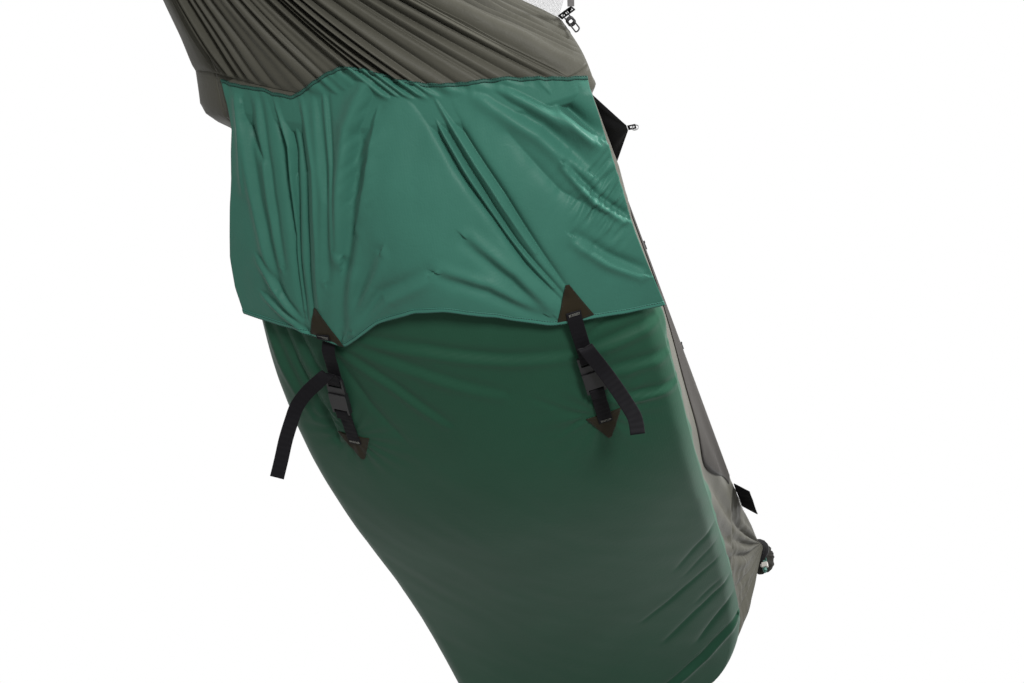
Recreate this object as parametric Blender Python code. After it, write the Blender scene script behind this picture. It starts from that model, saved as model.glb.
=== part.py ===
"""Hammock tent: a gathered-end hammock with a sleeping-pad sleeve under its bed, a head
flap held by two buckled straps, an insect net over a ridge line, and side tie-outs.
X runs from the head anchor to the foot anchor, +Z is up, +Y is the sleeper's left side.
The origin lies half way along the line that the whole hammock hangs and swings about."""

import math

import bmesh
import bpy
from mathutils import Matrix, Vector

# The line of suspension and the bed that hangs diagonally under it
GATHER_HALF_SPAN = 1.350        # middle of the line to each gathered end
BED_REACH = 0.975               # half length over which the bed's curve is given
BED_SAG = 0.619                 # drop of the sleeve's underside at its middle
HEAD_DROP = 0.285               # the same drop at the head end of that length
FOOT_DROP = 0.564               # and at the foot end
BED_WAVE = 0.110                # S curve of the bed along its length
EDGE_RISE = 0.076               # rise of the side edges over the middle
EDGE_RISE_AT = 0.330            # half width at which that rise is given
BED_CENTRE_X = -0.014
BED_CENTRE_Y = 0.020
BED_TURN = 15.96                # degrees the bed lies across the line
ROLL_MIDDLE = -0.47             # degrees the bed leans sideways at its middle
ROLL_GROWTH = -9.24             # and how that lean grows toward the foot
ROLL_CURVE = -3.63

# Fabrics, given thick enough to be solids
FABRIC = 0.0015
SEAM_GAP = 0.0006               # clearance between sewn neighbours
FOOT_SEAM_GAP = 0.0009          # clearance of the steep foot fan from the bed's seam
SEWN_GAP = 0.0003               # clearance of pieces that lie on one another

# Pad sleeve under the bed
SLEEVE_HALF_WIDTH = 0.365
SLEEVE_HEAD_REACH = 0.850
SLEEVE_FOOT_REACH = 1.125
SLEEVE_HEAD_ROUND_SHARE = 4.0   # squareness of the plan outline toward the head
SLEEVE_FOOT_ROUND_SHARE = 9.0   # and toward the foot
SLEEVE_SIDE_HEIGHT = 0.0975
SLEEVE_END_HEIGHT = 0.0595
SLEEVE_CORNER = 0.030           # height of the rounding under the side walls

# Sleeping pad inside it
PAD_THICK = 0.0560
PAD_INSET = 0.006               # pad edge inside the sleeve's wall
PAD_GAP = 0.0008                # pad above the sleeve's bottom
PAD_EDGE_DROP = 0.010           # how far the pad's rounded top falls to its edge

# Bed sheet, its side walls and the fans at both ends
BED_INSET = 0.015               # bed over the pad, inside the sleeve's wall
BED_HALF_WIDTH = SLEEVE_HALF_WIDTH - BED_INSET
BED_OVER_PAD = 0.0640
BED_RIM_INSET = 0.0024          # the bed's raised rim, inside the same wall
BED_RIM_HALF_WIDTH = SLEEVE_HALF_WIDTH - BED_RIM_INSET
BED_RIM_LIFT = 0.099
FAN_LIFT = 0.0002
RAMP_LENGTH = 0.045
SEAM_REACH = 0.925              # head seam, along the bed from its middle
SEAM_SKEW = 0.030               # the seam's slant from side to side
FOOT_SEAM_REACH = 1.180
GATHER_RADIUS = 0.022
GATHER_NECK = 0.010             # straight length of the gathered cloth inside its cap
GATHER_WRAP_TURN = 150.0        # degrees the gathered cloth wraps each way
PLEAT_DEPTH = 0.016
PLEAT_COUNT = 5
FAN_SLACK = 0.030               # how far the fans bow under their straight line
WALL_SLACK = 0.006
TAPER_START = 0.640             # the bed narrows from here to its head seam
LEFT_TAPER_SHARE = 0.905
RIGHT_TAPER_SHARE = 0.855

# Side tie-outs: the right one by the head and the left one by the foot
RIGHT_TIE_X = -0.790
RIGHT_TIE_Y = -0.475
LEFT_TIE_X = 0.960
LEFT_TIE_Y = 0.455
TIE_DROP = 0.155
HEM_ENTRY_SHARE = 0.21          # where the plain hem passes the end seam

# Head flap, sewn on under the head seam and hanging to its arched hem
FLAP_HEM_ROUTE = ((-0.366, -0.538), (-0.300, -0.556), (-0.254, -0.568), (-0.182, -0.580),
                  (-0.130, -0.600), (-0.026, -0.642), (0.030, -0.640), (0.100, -0.622),
                  (0.172, -0.582), (0.231, -0.577), (0.300, -0.584), (0.366, -0.593))
FLAP_LEFT_TOP = 0.274
FLAP_LEFT_BOTTOM = 0.366
FLAP_RIGHT_TOP = 0.303
FLAP_RIGHT_BOTTOM = 0.366
FLAP_STANDOFF = 0.013           # how far the hem stands off the sleeve
FLAP_FOLD_DEPTH = 0.007
FLAP_FOLDS = 5

# Adjuster straps and their patches
STRAP_UP_REACH = 0.576          # base of the upper patches, from the bed's middle
STRAP_LOW_REACH = 0.363         # base of the lower patches
STRAP_LEFT_UP = 0.201           # sideways places of the left strap
STRAP_LEFT_LOW = 0.228
STRAP_RIGHT_UP = -0.218
STRAP_RIGHT_LOW = -0.228
STRAP_UP_LIFT = 0.0245          # strap line below the sleeve's underside at either end
STRAP_LOW_LIFT = 0.0120
PATCH_LENGTH = 0.062
PATCH_HALF_WIDTH = 0.031
PATCH_TIP_HALF_WIDTH = 0.003
PATCH_THICK = 0.0015
PATCH_GAP = 0.0009
WEBBING_WIDTH = 0.025
WEBBING_THICK = 0.0016
WEBBING_SEWN = 0.018            # length of webbing sewn on each patch

# Side-release buckles with a ladder-lock on the upper half
MALE_START = 0.076              # from the upper patch base
BUCKLE_WIDTH = 0.034
RAIL = 0.0038                   # side rails of the ladder-lock
LADDER_BAR = 0.0035
LADDER_SLOT = 0.0060
MALE_NECK = 0.015
MALE_THICK = 0.0050
PRONG_LENGTH = 0.028
PRONG_WIDTH = 0.0055
GUIDE_WIDTH = 0.0040
GUIDE_LENGTH = 0.018
BUCKLE_GAP = 0.0006
FEMALE_WALL = 0.0020
FEMALE_CAVITY = 0.031
FEMALE_BACK = 0.0050
FEMALE_END_SLOT = 0.0060
ADJUST_TRAVEL = 0.022

# Webbing round the bars, and the free ends of both straps
WRAP_RADIUS = 0.0034            # middle of the webbing round a bar
WRAP_TAIL = 0.016               # length that lies back along the strap
LAYER_GAP = 0.0006
TAIL_STEP = 0.006
LEFT_TAIL_ROUTE = ((0.060, -0.001, 0.0060), (0.0575, -0.004, 0.0130), (0.068, -0.017, 0.0220),
                   (0.090, -0.040, 0.0340), (0.112, -0.056, 0.0480), (0.135, -0.064, 0.0640),
                   (0.160, -0.069, 0.0870), (0.185, -0.071, 0.1103), (0.210, -0.074, 0.1327))
RIGHT_TAIL_ROUTE = ((0.055, 0.001, 0.0050), (0.048, 0.003, 0.0100), (0.055, 0.006, 0.0150),
                    (0.071, 0.011, 0.0165), (0.104, 0.021, 0.0185), (0.131, 0.030, 0.0300),
                    (0.158, 0.039, 0.0473), (0.180, 0.045, 0.0674), (0.199, 0.041, 0.0867))
TAIL_FACING_SHARES = (0.705, 0.395, 0.593)

# Caps, bights and links at both ends
CAP_WALL = 0.0030
CAP_SKIRT = 0.008
CAP_FLARE = 0.010
CAP_THICK = 0.006
CAP_FIT = 0.0010
BIGHT_CORD = 0.006
BIGHT_HALF_WIDTH = 0.0105
BIGHT_REACH = 0.032             # beyond the cap
BIGHT_INSIDE = 0.020            # and back into the gathered cloth
HOLE_FIT = 0.0005
LINK_WIRE = 0.0055
LINK_HALF_HEIGHT = 0.0105
LINK_LENGTH = 0.048
LINK_PLAY = 0.0005
LINK_OPENING_START = 0.016      # along the link from its inner end
LINK_OPENING = 0.008
COLLAR_LENGTH = 0.014           # sliding collar that closes the opening
COLLAR_RADIUS = 0.0050
COLLAR_FIT = 0.0004
COLLAR_TRAVEL = 0.0095

# Ridge line and net canopy
RIDGE_CORD = 0.003
RIDGE_TIE = 0.030               # turned-back end of the ridge line
NET_THICK = 0.0008
NET_HEM_RISE = 0.0020
NET_HEM_INSET = 0.0008
NET_TOP_GAP = 0.0003
NET_SAG = 0.016
NET_END_INSET = 0.100           # nets stop short of the gathers
PEAK_BACK = 0.010
PEAK_OUT = 0.022
PEAK_RISE = 0.068
PEAK_AT_SHARE = 0.25
HEAD_NET_END = 0.800            # along the ridge, on the head side of the middle
DOOR_NET_END = 0.740
DOOR_HEAD_SHARE = 0.76          # of the right hem, where the closed part of the zip starts
DOOR_FOOT_SHARE = 0.09
ZIP_FOOT_SHARE = 0.22

# Door zip
TAPE_START = 0.0010             # above the net's lower edge
TAPE_WIDTH = 0.016
TAPE_THICK = 0.0012
TAPE_STANDOFF = 0.0004
TAPE_SLOPE = 45.0               # degrees
COIL_WIDTH = 0.0056
COIL_THICK = 0.0014
COIL_NECK = 0.0020
SLIDER_LENGTH = 0.014
SLIDER_WALL = 0.0014
SLIDER_GAP = 0.0004
LUG_HALF_WIDTH = 0.0010
LUG_WALL = 0.0012
PULL_PIN = 0.0010               # half size of the pull's pin
PULL_HOLE = 0.0017              # half size of the hole it turns in
PULL_ARM = 0.0012
PULL_LENGTH = 0.022
PULL_THICK = 0.0016
SLIDER_ONE_SHARE = 0.70
SLIDER_TWO_SHARE = 0.52
SLIDER_TRAVEL = 0.300

# Door corner that hangs out over the hem
WING_START_SHARE = 0.080
WING_END_SHARE = 0.180
WING_OUT = 0.051
WING_DROP = 0.020
WING_TIP = 0.014                # width of the blunt tip
WING_FOLD = 0.008
RING_RADIUS = 0.0060
RING_WIRE = 0.0020

# Tie-out gear
TAB_WIDTH = 0.010
TAB_BACK_SHARE = 0.257          # the tabs point away from both hems
TAB_OUT_SHARE = 0.966
TAB_THICK = 0.0024
TAB_GAP = 0.0012
TAB_ROOT = 0.0040               # sewn length of a tab, before its first hole
TAB_HOLE = 0.0056
TAB_BAR = 0.0030
TAB_END = 0.0024
RING_HOLE = 0.0080
RING_DROP = 0.0030              # ring centre below the tab
CORD_FIT = 0.0004
GUY_CORD = 0.0024
GUY_REACH = 0.090
GUY_BACK_SHARE = 0.894          # its pull toward the head, and outward
GUY_OUT_SHARE = 0.447
TENSIONER_LENGTH = 0.020
TENSIONER_WIDTH = 0.011
TENSIONER_WALL = 0.0022
TENSIONER_FIT = 0.0005
TENSIONER_AT = 0.012            # beyond the tab
TENSIONER_TRAVEL = 0.018
LEAD_DROP = 0.062
LEAD_RISE = 0.0012              # slack over the tab
LEAD_OUT_SHARE = 0.400          # it lies down the wall
LEAD_DOWN_SHARE = 0.917
KNOB_RADIUS = 0.0072
KNOB_LENGTH = 0.010
KNOB_AT = 0.030                 # below the tab
KNOB_BORE = 0.0058
CORNER_PATCH_GAP = 0.0010
CORNER_PATCH_THICK = 0.0012

# Storage sleeve bunched over the foot suspension
SACK_START = 0.0010             # beyond the cap
SACK_LENGTH = 0.058
SACK_RADIUS = 0.033
SACK_NEAR_MOUTH = 0.0225
SACK_FAR_MOUTH = 0.0200
SACK_WALL = 0.0014
SACK_SAG_SHARE = 0.75           # how much farther the sleeve hangs below than above
SACK_CORD = 0.0028
STRAND_HALF_GAP = 0.0017        # the drawcord's two hanging strands
DRAW_Y = -0.0185
DRAW_LOCK_Z = -0.0530
DRAW_END_Z = -0.0760
DRAW_LOCK_X = -0.0020           # from the gathered end
LOCK_LENGTH = 0.014
LOCK_SIDE = 0.0062
LOCK_WALL = 0.0014
WELL_HALF = 0.0042
BUTTON_HALF = 0.0037
BUTTON_STAND = 0.0045
BUTTON_TRAVEL = 0.0030
BUTTON_WALL = 0.0012
BEAD_RADIUS = 0.0062
BEAD_LENGTH = 0.0080
BEAD_BELOW = 0.0150             # bead below the lock's middle

# Webbing strip that hangs from the hem near the foot gather
FOOT_TAB_SHARE = 0.165
FOOT_TAB_LENGTH = 0.140
FOOT_TAB_WIDTH = 0.050
FOOT_TAB_THICK = 0.0026
FOOT_TAB_OUT = 0.0024
FOOT_TAB_LEAN = 52.0            # degrees outward from plumb

# Mesh resolution
FAN_ROWS = 6
SLOPE_STEP_SHARE = 0.001


def clear_scene():
    for old in list(bpy.data.objects):
        bpy.data.objects.remove(old, do_unlink=True)


clear_scene()


def material(name, colour, roughness, metallic=0.0):
    made = bpy.data.materials.new(name)
    made.use_nodes = True
    shader = made.node_tree.nodes["Principled BSDF"]
    shader.inputs["Base Color"].default_value = (*colour, 1.0)
    shader.inputs["Roughness"].default_value = roughness
    shader.inputs["Metallic"].default_value = metallic
    return made


TAUPE_NYLON = material("taupe_nylon", (0.070, 0.064, 0.045), 0.62)
GREEN_NYLON = material("green_nylon", (0.045, 0.135, 0.105), 0.55)
FLAP_NYLON = material("flap_nylon", (0.055, 0.165, 0.130), 0.52)
PATCH_CLOTH = material("patch_cloth", (0.040, 0.028, 0.013), 0.70)
BLACK_WEBBING = material("black_webbing", (0.006, 0.006, 0.007), 0.75)
BLACK_PLASTIC = material("black_plastic", (0.010, 0.010, 0.012), 0.42)
GREY_PLASTIC = material("grey_plastic", (0.30, 0.29, 0.29), 0.45)
PALE_PLASTIC = material("pale_plastic", (0.55, 0.53, 0.50), 0.45)
BLACK_NET = material("black_net", (0.012, 0.012, 0.012), 0.80)
CORD_BLACK = material("cord_black", (0.012, 0.012, 0.013), 0.80)
CORD_GREEN = material("cord_green", (0.05, 0.16, 0.13), 0.75)
PAD_FOAM = material("pad_foam", (0.20, 0.24, 0.26), 0.70)
SACK_CLOTH = material("sack_cloth", (0.020, 0.019, 0.015), 0.65)
ALLOY = material("alloy", (0.45, 0.45, 0.46), 0.35, 0.9)


def add_object(name, points, faces, finish, smooth=True):
    mesh = bpy.data.meshes.new(name)
    shape = bmesh.new()
    made = [shape.verts.new(point) for point in points]
    for face in faces:
        shape.faces.new([made[index] for index in face])
    bmesh.ops.remove_doubles(shape, verts=shape.verts, dist=SEWN_GAP * MERGE_SHARE)
    bmesh.ops.dissolve_degenerate(shape, edges=shape.edges, dist=SEWN_GAP * MERGE_SHARE)
    if shape.calc_volume(signed=True) < 0.0:
        bmesh.ops.reverse_faces(shape, faces=shape.faces)
    shape.to_mesh(mesh)
    shape.free()
    if smooth:
        mesh.shade_smooth()
        mesh.set_sharp_from_angle(angle=math.radians(SHARP_ANGLE))
    mesh.materials.append(finish)
    made_object = bpy.data.objects.new(name, mesh)
    bpy.context.scene.collection.objects.link(made_object)
    return made_object


MERGE_SHARE = 0.01
SHARP_ANGLE = 40.0


def ease(share):
    """Smooth step from 0 to 1."""
    held = min(1.0, max(0.0, share))
    return held * held * (3.0 - 2.0 * held)


def mix(first, second, share):
    return first + (second - first) * share


# The bed's underside, as a height over its own length and width

def bed_height(along, across):
    part = along / BED_REACH
    end_drop = HEAD_DROP if part < 0.0 else FOOT_DROP
    rise = (BED_SAG - end_drop) * part * part
    wave = BED_WAVE * part * (1.0 - part * part)
    edge = EDGE_RISE * (across / EDGE_RISE_AT) ** 2
    roll = math.radians(ROLL_MIDDLE + ROLL_GROWTH * part + ROLL_CURVE * part * part)
    return -BED_SAG + rise + wave + edge + across * math.tan(roll)


def bed_place(along, across):
    turn = math.radians(BED_TURN)
    x = BED_CENTRE_X + along * math.cos(turn) - across * math.sin(turn)
    y = BED_CENTRE_Y + along * math.sin(turn) + across * math.cos(turn)
    return Vector((x, y, bed_height(along, across)))


def bed_normal(along, across):
    step = BED_REACH * SLOPE_STEP_SHARE
    ahead = bed_place(along + step, across) - bed_place(along - step, across)
    beside = bed_place(along, across + step) - bed_place(along, across - step)
    return ahead.cross(beside).normalized()


def bed_point(along, across, lift=0.0):
    """A point on the sleeve's underside, lifted into the hammock along its normal."""
    return bed_place(along, across) + bed_normal(along, across) * lift


# Closed sheets from two grids of points

def sheet_solid(name, outer, inner, finish):
    """A closed sheet between two grids of equal rows and columns."""
    rows, columns = len(outer), len(outer[0])
    size = rows * columns
    points = [point for row in outer for point in row]
    points += [point for row in inner for point in row]
    faces = []
    for row in range(rows - 1):
        for column in range(columns - 1):
            first = row * columns + column
            across = first + columns + 1
            for corner in ((first, first + 1, across), (first, across, first + columns)):
                faces.append(corner)
                faces.append(tuple(size + index for index in reversed(corner)))
    last_row = (rows - 1) * columns
    right = [row * columns + columns - 1 for row in range(rows)]
    left = [row * columns for row in range(rows - 1, -1, -1)]
    strips = [right, left, list(range(columns))]
    strips.append([last_row + column for column in range(columns - 1, -1, -1)])
    for strip in strips:
        for here, after in zip(strip, strip[1:]):
            faces.append((after, here, size + here, size + after))
    return add_object(name, points, faces, finish)


def grid_normals(grid):
    rows, columns = len(grid), len(grid[0])
    normals = []
    for row in range(rows):
        line = []
        for column in range(columns):
            ahead = grid[min(row + 1, rows - 1)][column] - grid[max(row - 1, 0)][column]
            beside = grid[row][min(column + 1, columns - 1)] - grid[row][max(column - 1, 0)]
            line.append(ahead.cross(beside).normalized())
        normals.append(line)
    return normals


def offset_grid(grid, distance):
    normals = grid_normals(grid)
    return [[point + normal * distance for point, normal in zip(row, line)]
            for row, line in zip(grid, normals)]


# Stations that the sleeve, the pad and the bed sheet share, so that their faces lie parallel
HEAD_STATION_SHARES = (0.985, 0.945, 0.875, 0.770, 0.630, 0.465, 0.290, 0.116)
FOOT_STATION_SHARES = (0.053, 0.196, 0.338, 0.480, 0.622, 0.747, 0.850, 0.930, 0.965, 0.990)
ACROSS_SHARES = (-1.0, -0.965, -0.9, -0.8, -0.6, -0.4, -0.2, 0.0,
                 0.2, 0.4, 0.6, 0.8, 0.9, 0.965, 1.0)
STATIONS = [-share * SLEEVE_HEAD_REACH for share in HEAD_STATION_SHARES]
STATIONS += [share * SLEEVE_FOOT_REACH for share in FOOT_STATION_SHARES]
BED_SHARES = ACROSS_SHARES[1:-1]


def plan_half_width(along, inset):
    """Half width of the rounded plan outline at a station, drawn in by an inset."""
    toward_foot = along > 0.0
    reach = (SLEEVE_FOOT_REACH if toward_foot else SLEEVE_HEAD_REACH) - inset
    power = SLEEVE_FOOT_ROUND_SHARE if toward_foot else SLEEVE_HEAD_ROUND_SHARE
    left = max(0.0, 1.0 - (abs(along) / reach) ** power)
    return (SLEEVE_HALF_WIDTH - inset) * left ** (1.0 / power)


def drawn_in(along, inset):
    """A station; the blunt ends move in by the inset."""
    return min(STATIONS[-1] - inset, max(STATIONS[0] + inset, along))


def corner_lift(share):
    """The rounding of the lower edge, from the flat bottom to the side wall."""
    past = (abs(share) - CORNER_START_SHARE) / (1.0 - CORNER_START_SHARE)
    return SLEEVE_CORNER * max(0.0, past) ** 2


CORNER_START_SHARE = 0.86
WALL_LOW_SHARE = 0.972
WALL_HIGH_SHARE = 0.996


def wall_height(along):
    """The side walls are high along the sides and low round both ends."""
    width_share = plan_half_width(along, 0.0) / SLEEVE_HALF_WIDTH
    share = (width_share - WALL_LOW_SHARE) / (WALL_HIGH_SHARE - WALL_LOW_SHARE)
    return mix(SLEEVE_END_HEIGHT, SLEEVE_SIDE_HEIGHT, ease(share))


def sleeve_end_wall(along, inset):
    half_width = plan_half_width(along, inset)
    row = [bed_point(drawn_in(along, inset), share * half_width, wall_height(along))
           for share in ACROSS_SHARES]
    return [row[0]] + row + [row[-1]]


def sleeve_row(along, inset):
    half_width = plan_half_width(along, inset)
    place = drawn_in(along, inset)
    row = [bed_point(place, share * half_width, corner_lift(share) + inset)
           for share in ACROSS_SHARES]
    right = bed_point(place, -half_width, wall_height(along))
    left = bed_point(place, half_width, wall_height(along))
    return [right] + row + [left]


def build_sleeve():
    skins = []
    for inset in (0.0, FABRIC):
        rows = [sleeve_row(along, inset) for along in STATIONS]
        skins.append([sleeve_end_wall(STATIONS[0], inset)] + rows
                     + [sleeve_end_wall(STATIONS[-1], inset)])
    return sheet_solid("under_shell", skins[0], skins[1], GREEN_NYLON)


def build_pad():
    low = FABRIC + PAD_GAP
    bottom, top = [], []
    for along in STATIONS:
        half_width = plan_half_width(along, PAD_INSET)
        place = drawn_in(along, PAD_INSET)
        bottom.append([bed_point(place, share * half_width, corner_lift(share) + low)
                       for share in ACROSS_SHARES])
        top.append([bed_point(place, share * half_width, low + PAD_THICK - pad_drop(share))
                    for share in ACROSS_SHARES])
    return sheet_solid("insulation_pad", bottom, top, PAD_FOAM)


def pad_drop(share):
    past = (abs(share) - CORNER_START_SHARE) / (1.0 - CORNER_START_SHARE)
    return PAD_EDGE_DROP * max(0.0, past) ** 2


build_sleeve()
build_pad()


# Bed sheet with its walls, and the fans that gather it at both ends

def head_seam(across):
    return -SEAM_REACH - SEAM_SKEW * across / SLEEVE_HALF_WIDTH


LEFT_CORNER = Vector((LEFT_TIE_X, LEFT_TIE_Y, -TIE_DROP))
RIGHT_CORNER = Vector((RIGHT_TIE_X, RIGHT_TIE_Y, -TIE_DROP))


def hem_point(side, share):
    """A hem from its plain end to its tie-out corner; side is -1 at the right, 1 at the left."""
    corner = LEFT_CORNER if side > 0.0 else RIGHT_CORNER
    start = Vector((-side * GATHER_HALF_SPAN, 0.0, 0.0))
    return start.lerp(corner, share)


WALL_COLUMNS = 5


def body_columns():
    """Columns from the right hem to the left hem, as (side, wall share, bed share)."""
    walls = [1.0 - index / (WALL_COLUMNS - 1) for index in range(WALL_COLUMNS)]
    columns = [(-1.0, wall, -1.0) for wall in walls]
    columns += [(0.0, 0.0, share) for share in BED_SHARES]
    columns += [(1.0, wall, 1.0) for wall in reversed(walls)]
    return columns


def tapered(across, along_at):
    """A sideways place, drawn in where the bed narrows toward its head seam."""
    narrow = LEFT_TAPER_SHARE if across > 0.0 else RIGHT_TAPER_SHARE
    share = (-TAPER_START - along_at(0.0)) / (SEAM_REACH - TAPER_START)
    return across * mix(1.0, narrow, min(1.0, max(0.0, share)))


def body_place(column, along_at, lift, rim_lift, hem_share):
    """A point of the body where a cross row meets a column."""
    side, wall, share = column
    if side == 0.0:
        across = tapered(share * BED_HALF_WIDTH, along_at)
        return bed_point(along_at(across), across, lift)
    across = tapered(side * BED_RIM_HALF_WIDTH, along_at)
    rim = bed_point(along_at(across), across, rim_lift)
    passed = hem_share if side > 0.0 else 1.0 - hem_share
    hem = hem_point(side, mix(HEM_ENTRY_SHARE, 1.0, passed))
    bow = Vector((0.0, side * WALL_SLACK * math.sin(math.pi * wall), 0.0))
    return rim.lerp(hem, wall) + bow


def seam_inward(column, along_at, hem_share):
    """The direction that a sheet's thickness takes at an end seam."""
    side, wall, share = column
    across = tapered(share * BED_HALF_WIDTH, along_at)
    if side == 0.0:
        return bed_normal(along_at(across), across)
    ahead = Vector((math.cos(math.radians(BED_TURN)), math.sin(math.radians(BED_TURN)), 0.0))
    rim = body_place((side, 0.0, side), along_at, FAN_LIFT, FAN_LIFT, hem_share)
    hem = body_place((side, 1.0, side), along_at, FAN_LIFT, FAN_LIFT, hem_share)
    return ahead.cross(hem - rim).normalized() * side


def foot_seam(across):
    return FOOT_SEAM_REACH


def end_row(columns, at_head):
    """The row that a fan shares with the bed sheet."""
    along_at = head_seam if at_head else foot_seam
    lift = FAN_LIFT if at_head else BED_OVER_PAD
    rim_lift = FAN_LIFT if at_head else BED_RIM_LIFT
    share = 0.0 if at_head else 1.0
    outer = [body_place(column, along_at, lift, rim_lift, share) for column in columns]
    inner = [point + seam_inward(column, along_at, share) * FABRIC
             for point, column in zip(outer, columns)]
    return outer, inner


def gather_point(end, turn_share, radius, neck=GATHER_NECK):
    """The cloth rolled up at a gathered end, end -1 at the head."""
    turn = math.radians(GATHER_WRAP_TURN) * turn_share
    return Vector((end * (GATHER_HALF_SPAN - neck), radius * math.sin(turn),
                   -radius * math.cos(turn)))


def pulled_in(rows, first_gap, last_gap):
    """Shorten a list of rows at either end by a small clearance."""
    short = [list(row) for row in rows]
    for index, gap, inward in ((0, first_gap, 1), (-1, last_gap, -2)):
        for column, point in enumerate(rows[index]):
            toward = rows[inward][column] - point
            if gap > 0.0 and toward.length > gap:
                short[index][column] = point + toward.normalized() * gap
    return short


def build_fan(name, at_head):
    end = -1.0 if at_head else 1.0
    columns = body_columns()
    seam, seam_inner = end_row(columns, at_head)
    count = len(columns) - 1
    turns = [2.0 * index / count - 1.0 for index in range(count + 1)]
    outer = [[gather_point(end, turn, GATHER_RADIUS, 0.0) for turn in turns]]
    inner = [[gather_point(end, turn, GATHER_RADIUS - FABRIC, 0.0) for turn in turns]]
    for row in range(FAN_ROWS + 1):
        share = row / FAN_ROWS
        line, inside = [], []
        for index, column in enumerate(columns):
            turn_share = turns[index]
            ripple = math.sin(math.pi * share) * PLEAT_DEPTH
            crest = 2.0 * abs(math.sin(math.pi * PLEAT_COUNT * index / count)) - 1.0
            bow = FAN_SLACK * math.sin(math.pi * share) * (1.0 - column[1])
            ripple *= 1.0 - column[1]
            shift = Vector((0.0, 0.0, ripple * crest * PLEAT_HALF_SHARE - bow))
            line.append(gather_point(end, turn_share, GATHER_RADIUS).lerp(seam[index], share)
                        + shift)
            inner_gather = gather_point(end, turn_share, GATHER_RADIUS - FABRIC)
            inside.append(inner_gather.lerp(seam_inner[index], share) + shift)
        outer.append(line)
        inner.append(inside)
    if not at_head:
        outer, inner = squared_walls(outer, inner, [1.0 - column[1] for column in columns])
    gap = SEAM_GAP if at_head else FOOT_SEAM_GAP
    return sheet_solid(name, pulled_in(outer, 0.0, gap), pulled_in(inner, 0.0, gap),
                       TAUPE_NYLON)


def squared_walls(outer, inner, shares):
    """Walls square to the cloth's own face, which stands outside it toward the bed's seam.
    The foot fan falls so steeply from its seam that the seam's own slant would thin it."""
    normals = grid_normals(outer)
    middle = len(outer[0]) // 2
    outward = 1.0 if normals[1][middle].dot(outer[1][middle] - inner[1][middle]) > 0.0 else -1.0
    near, far = [], []
    for index, (row, line) in enumerate(zip(outer, normals)):
        standing = ease(index / (len(outer) - 1)) * FABRIC
        face = [point + normal * (outward * standing * share)
                for point, normal, share in zip(row, line, shares)]
        near.append(face)
        far.append([point - normal * (outward * FABRIC) for point, normal in zip(face, line)])
    return near, far


PLEAT_HALF_SHARE = 0.5


def bed_sheet_rows(columns):
    """Cross rows between the end seams: a ramp on to the pad, then the shared stations."""
    rows = []
    total = FOOT_SEAM_REACH + SEAM_REACH
    places = [lambda across: head_seam(across) + RAMP_LENGTH]
    places += [lambda across, along=along: along for along in STATIONS[2:]]
    for along_at in places:
        hem_share = (along_at(0.0) + SEAM_REACH) / total
        rows.append([body_place(column, along_at, BED_OVER_PAD, BED_RIM_LIFT, hem_share)
                     for column in columns])
    return rows


def build_bed_sheet():
    columns = body_columns()
    head, head_inner = end_row(columns, True)
    foot, foot_inner = end_row(columns, False)
    outer = [head] + bed_sheet_rows(columns) + [foot]
    inner = offset_grid(outer, FABRIC)
    inner[0], inner[-1] = head_inner, foot_inner
    return sheet_solid("bed_sheet", pulled_in(outer, SEAM_GAP, SEAM_GAP),
                       pulled_in(inner, SEAM_GAP, SEAM_GAP), TAUPE_NYLON)


build_fan("head_fan", True)
build_fan("foot_fan", False)
build_bed_sheet()


# Head flap

def flap_hem(across):
    """The hem's place along the bed, read off its route."""
    for (first, low), (second, high) in zip(FLAP_HEM_ROUTE, FLAP_HEM_ROUTE[1:]):
        if across <= second:
            return mix(low, high, (across - first) / (second - first))
    return FLAP_HEM_ROUTE[-1][1]


def flap_lift(down, over):
    """Height of the flap's inner face below the sleeve, with its main folds."""
    fold = math.sin(math.pi * down) * (1.0 - math.cos(2.0 * math.pi * FLAP_FOLDS * over))
    return SEWN_GAP + FLAP_STANDOFF * ease(down) + FLAP_FOLD_DEPTH * fold * PLEAT_HALF_SHARE


def build_flap():
    outer, inner = [], []
    for row in range(FLAP_ROWS + 1):
        down = row / FLAP_ROWS
        outer_row, inner_row = [], []
        for column in range(FLAP_COLUMNS + 1):
            over = column / FLAP_COLUMNS
            top = mix(-FLAP_RIGHT_TOP, FLAP_LEFT_TOP, over)
            bottom = mix(-FLAP_RIGHT_BOTTOM, FLAP_LEFT_BOTTOM, over)
            across = mix(top, bottom, down)
            along = mix(head_seam(top), flap_hem(bottom), down)
            lift = flap_lift(down, over)
            outer_row.append(bed_point(along, across, -lift - FABRIC))
            inner_row.append(bed_point(along, across, -lift))
        outer.append(outer_row)
        inner.append(inner_row)
    return sheet_solid("head_flap", outer, inner, FLAP_NYLON)


FLAP_ROWS = 9
FLAP_COLUMNS = 25
build_flap()


# Shared makers for straps, plates, cords and moulded pieces

def ribbon(name, places, sides, width, thickness, finish):
    """A flat band along a path; each side vector points across the band."""
    outer, inner = [], []
    for index, place in enumerate(places):
        before = places[max(0, index - 1)]
        after = places[min(len(places) - 1, index + 1)]
        across = sides[index].normalized() * width * HALF_SHARE
        face = (after - before).cross(across).normalized() * thickness * HALF_SHARE
        outer.append([place - across + face, place + across + face])
        inner.append([place - across - face, place + across - face])
    return sheet_solid(name, outer, inner, finish)


HALF_SHARE = 0.5


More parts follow.
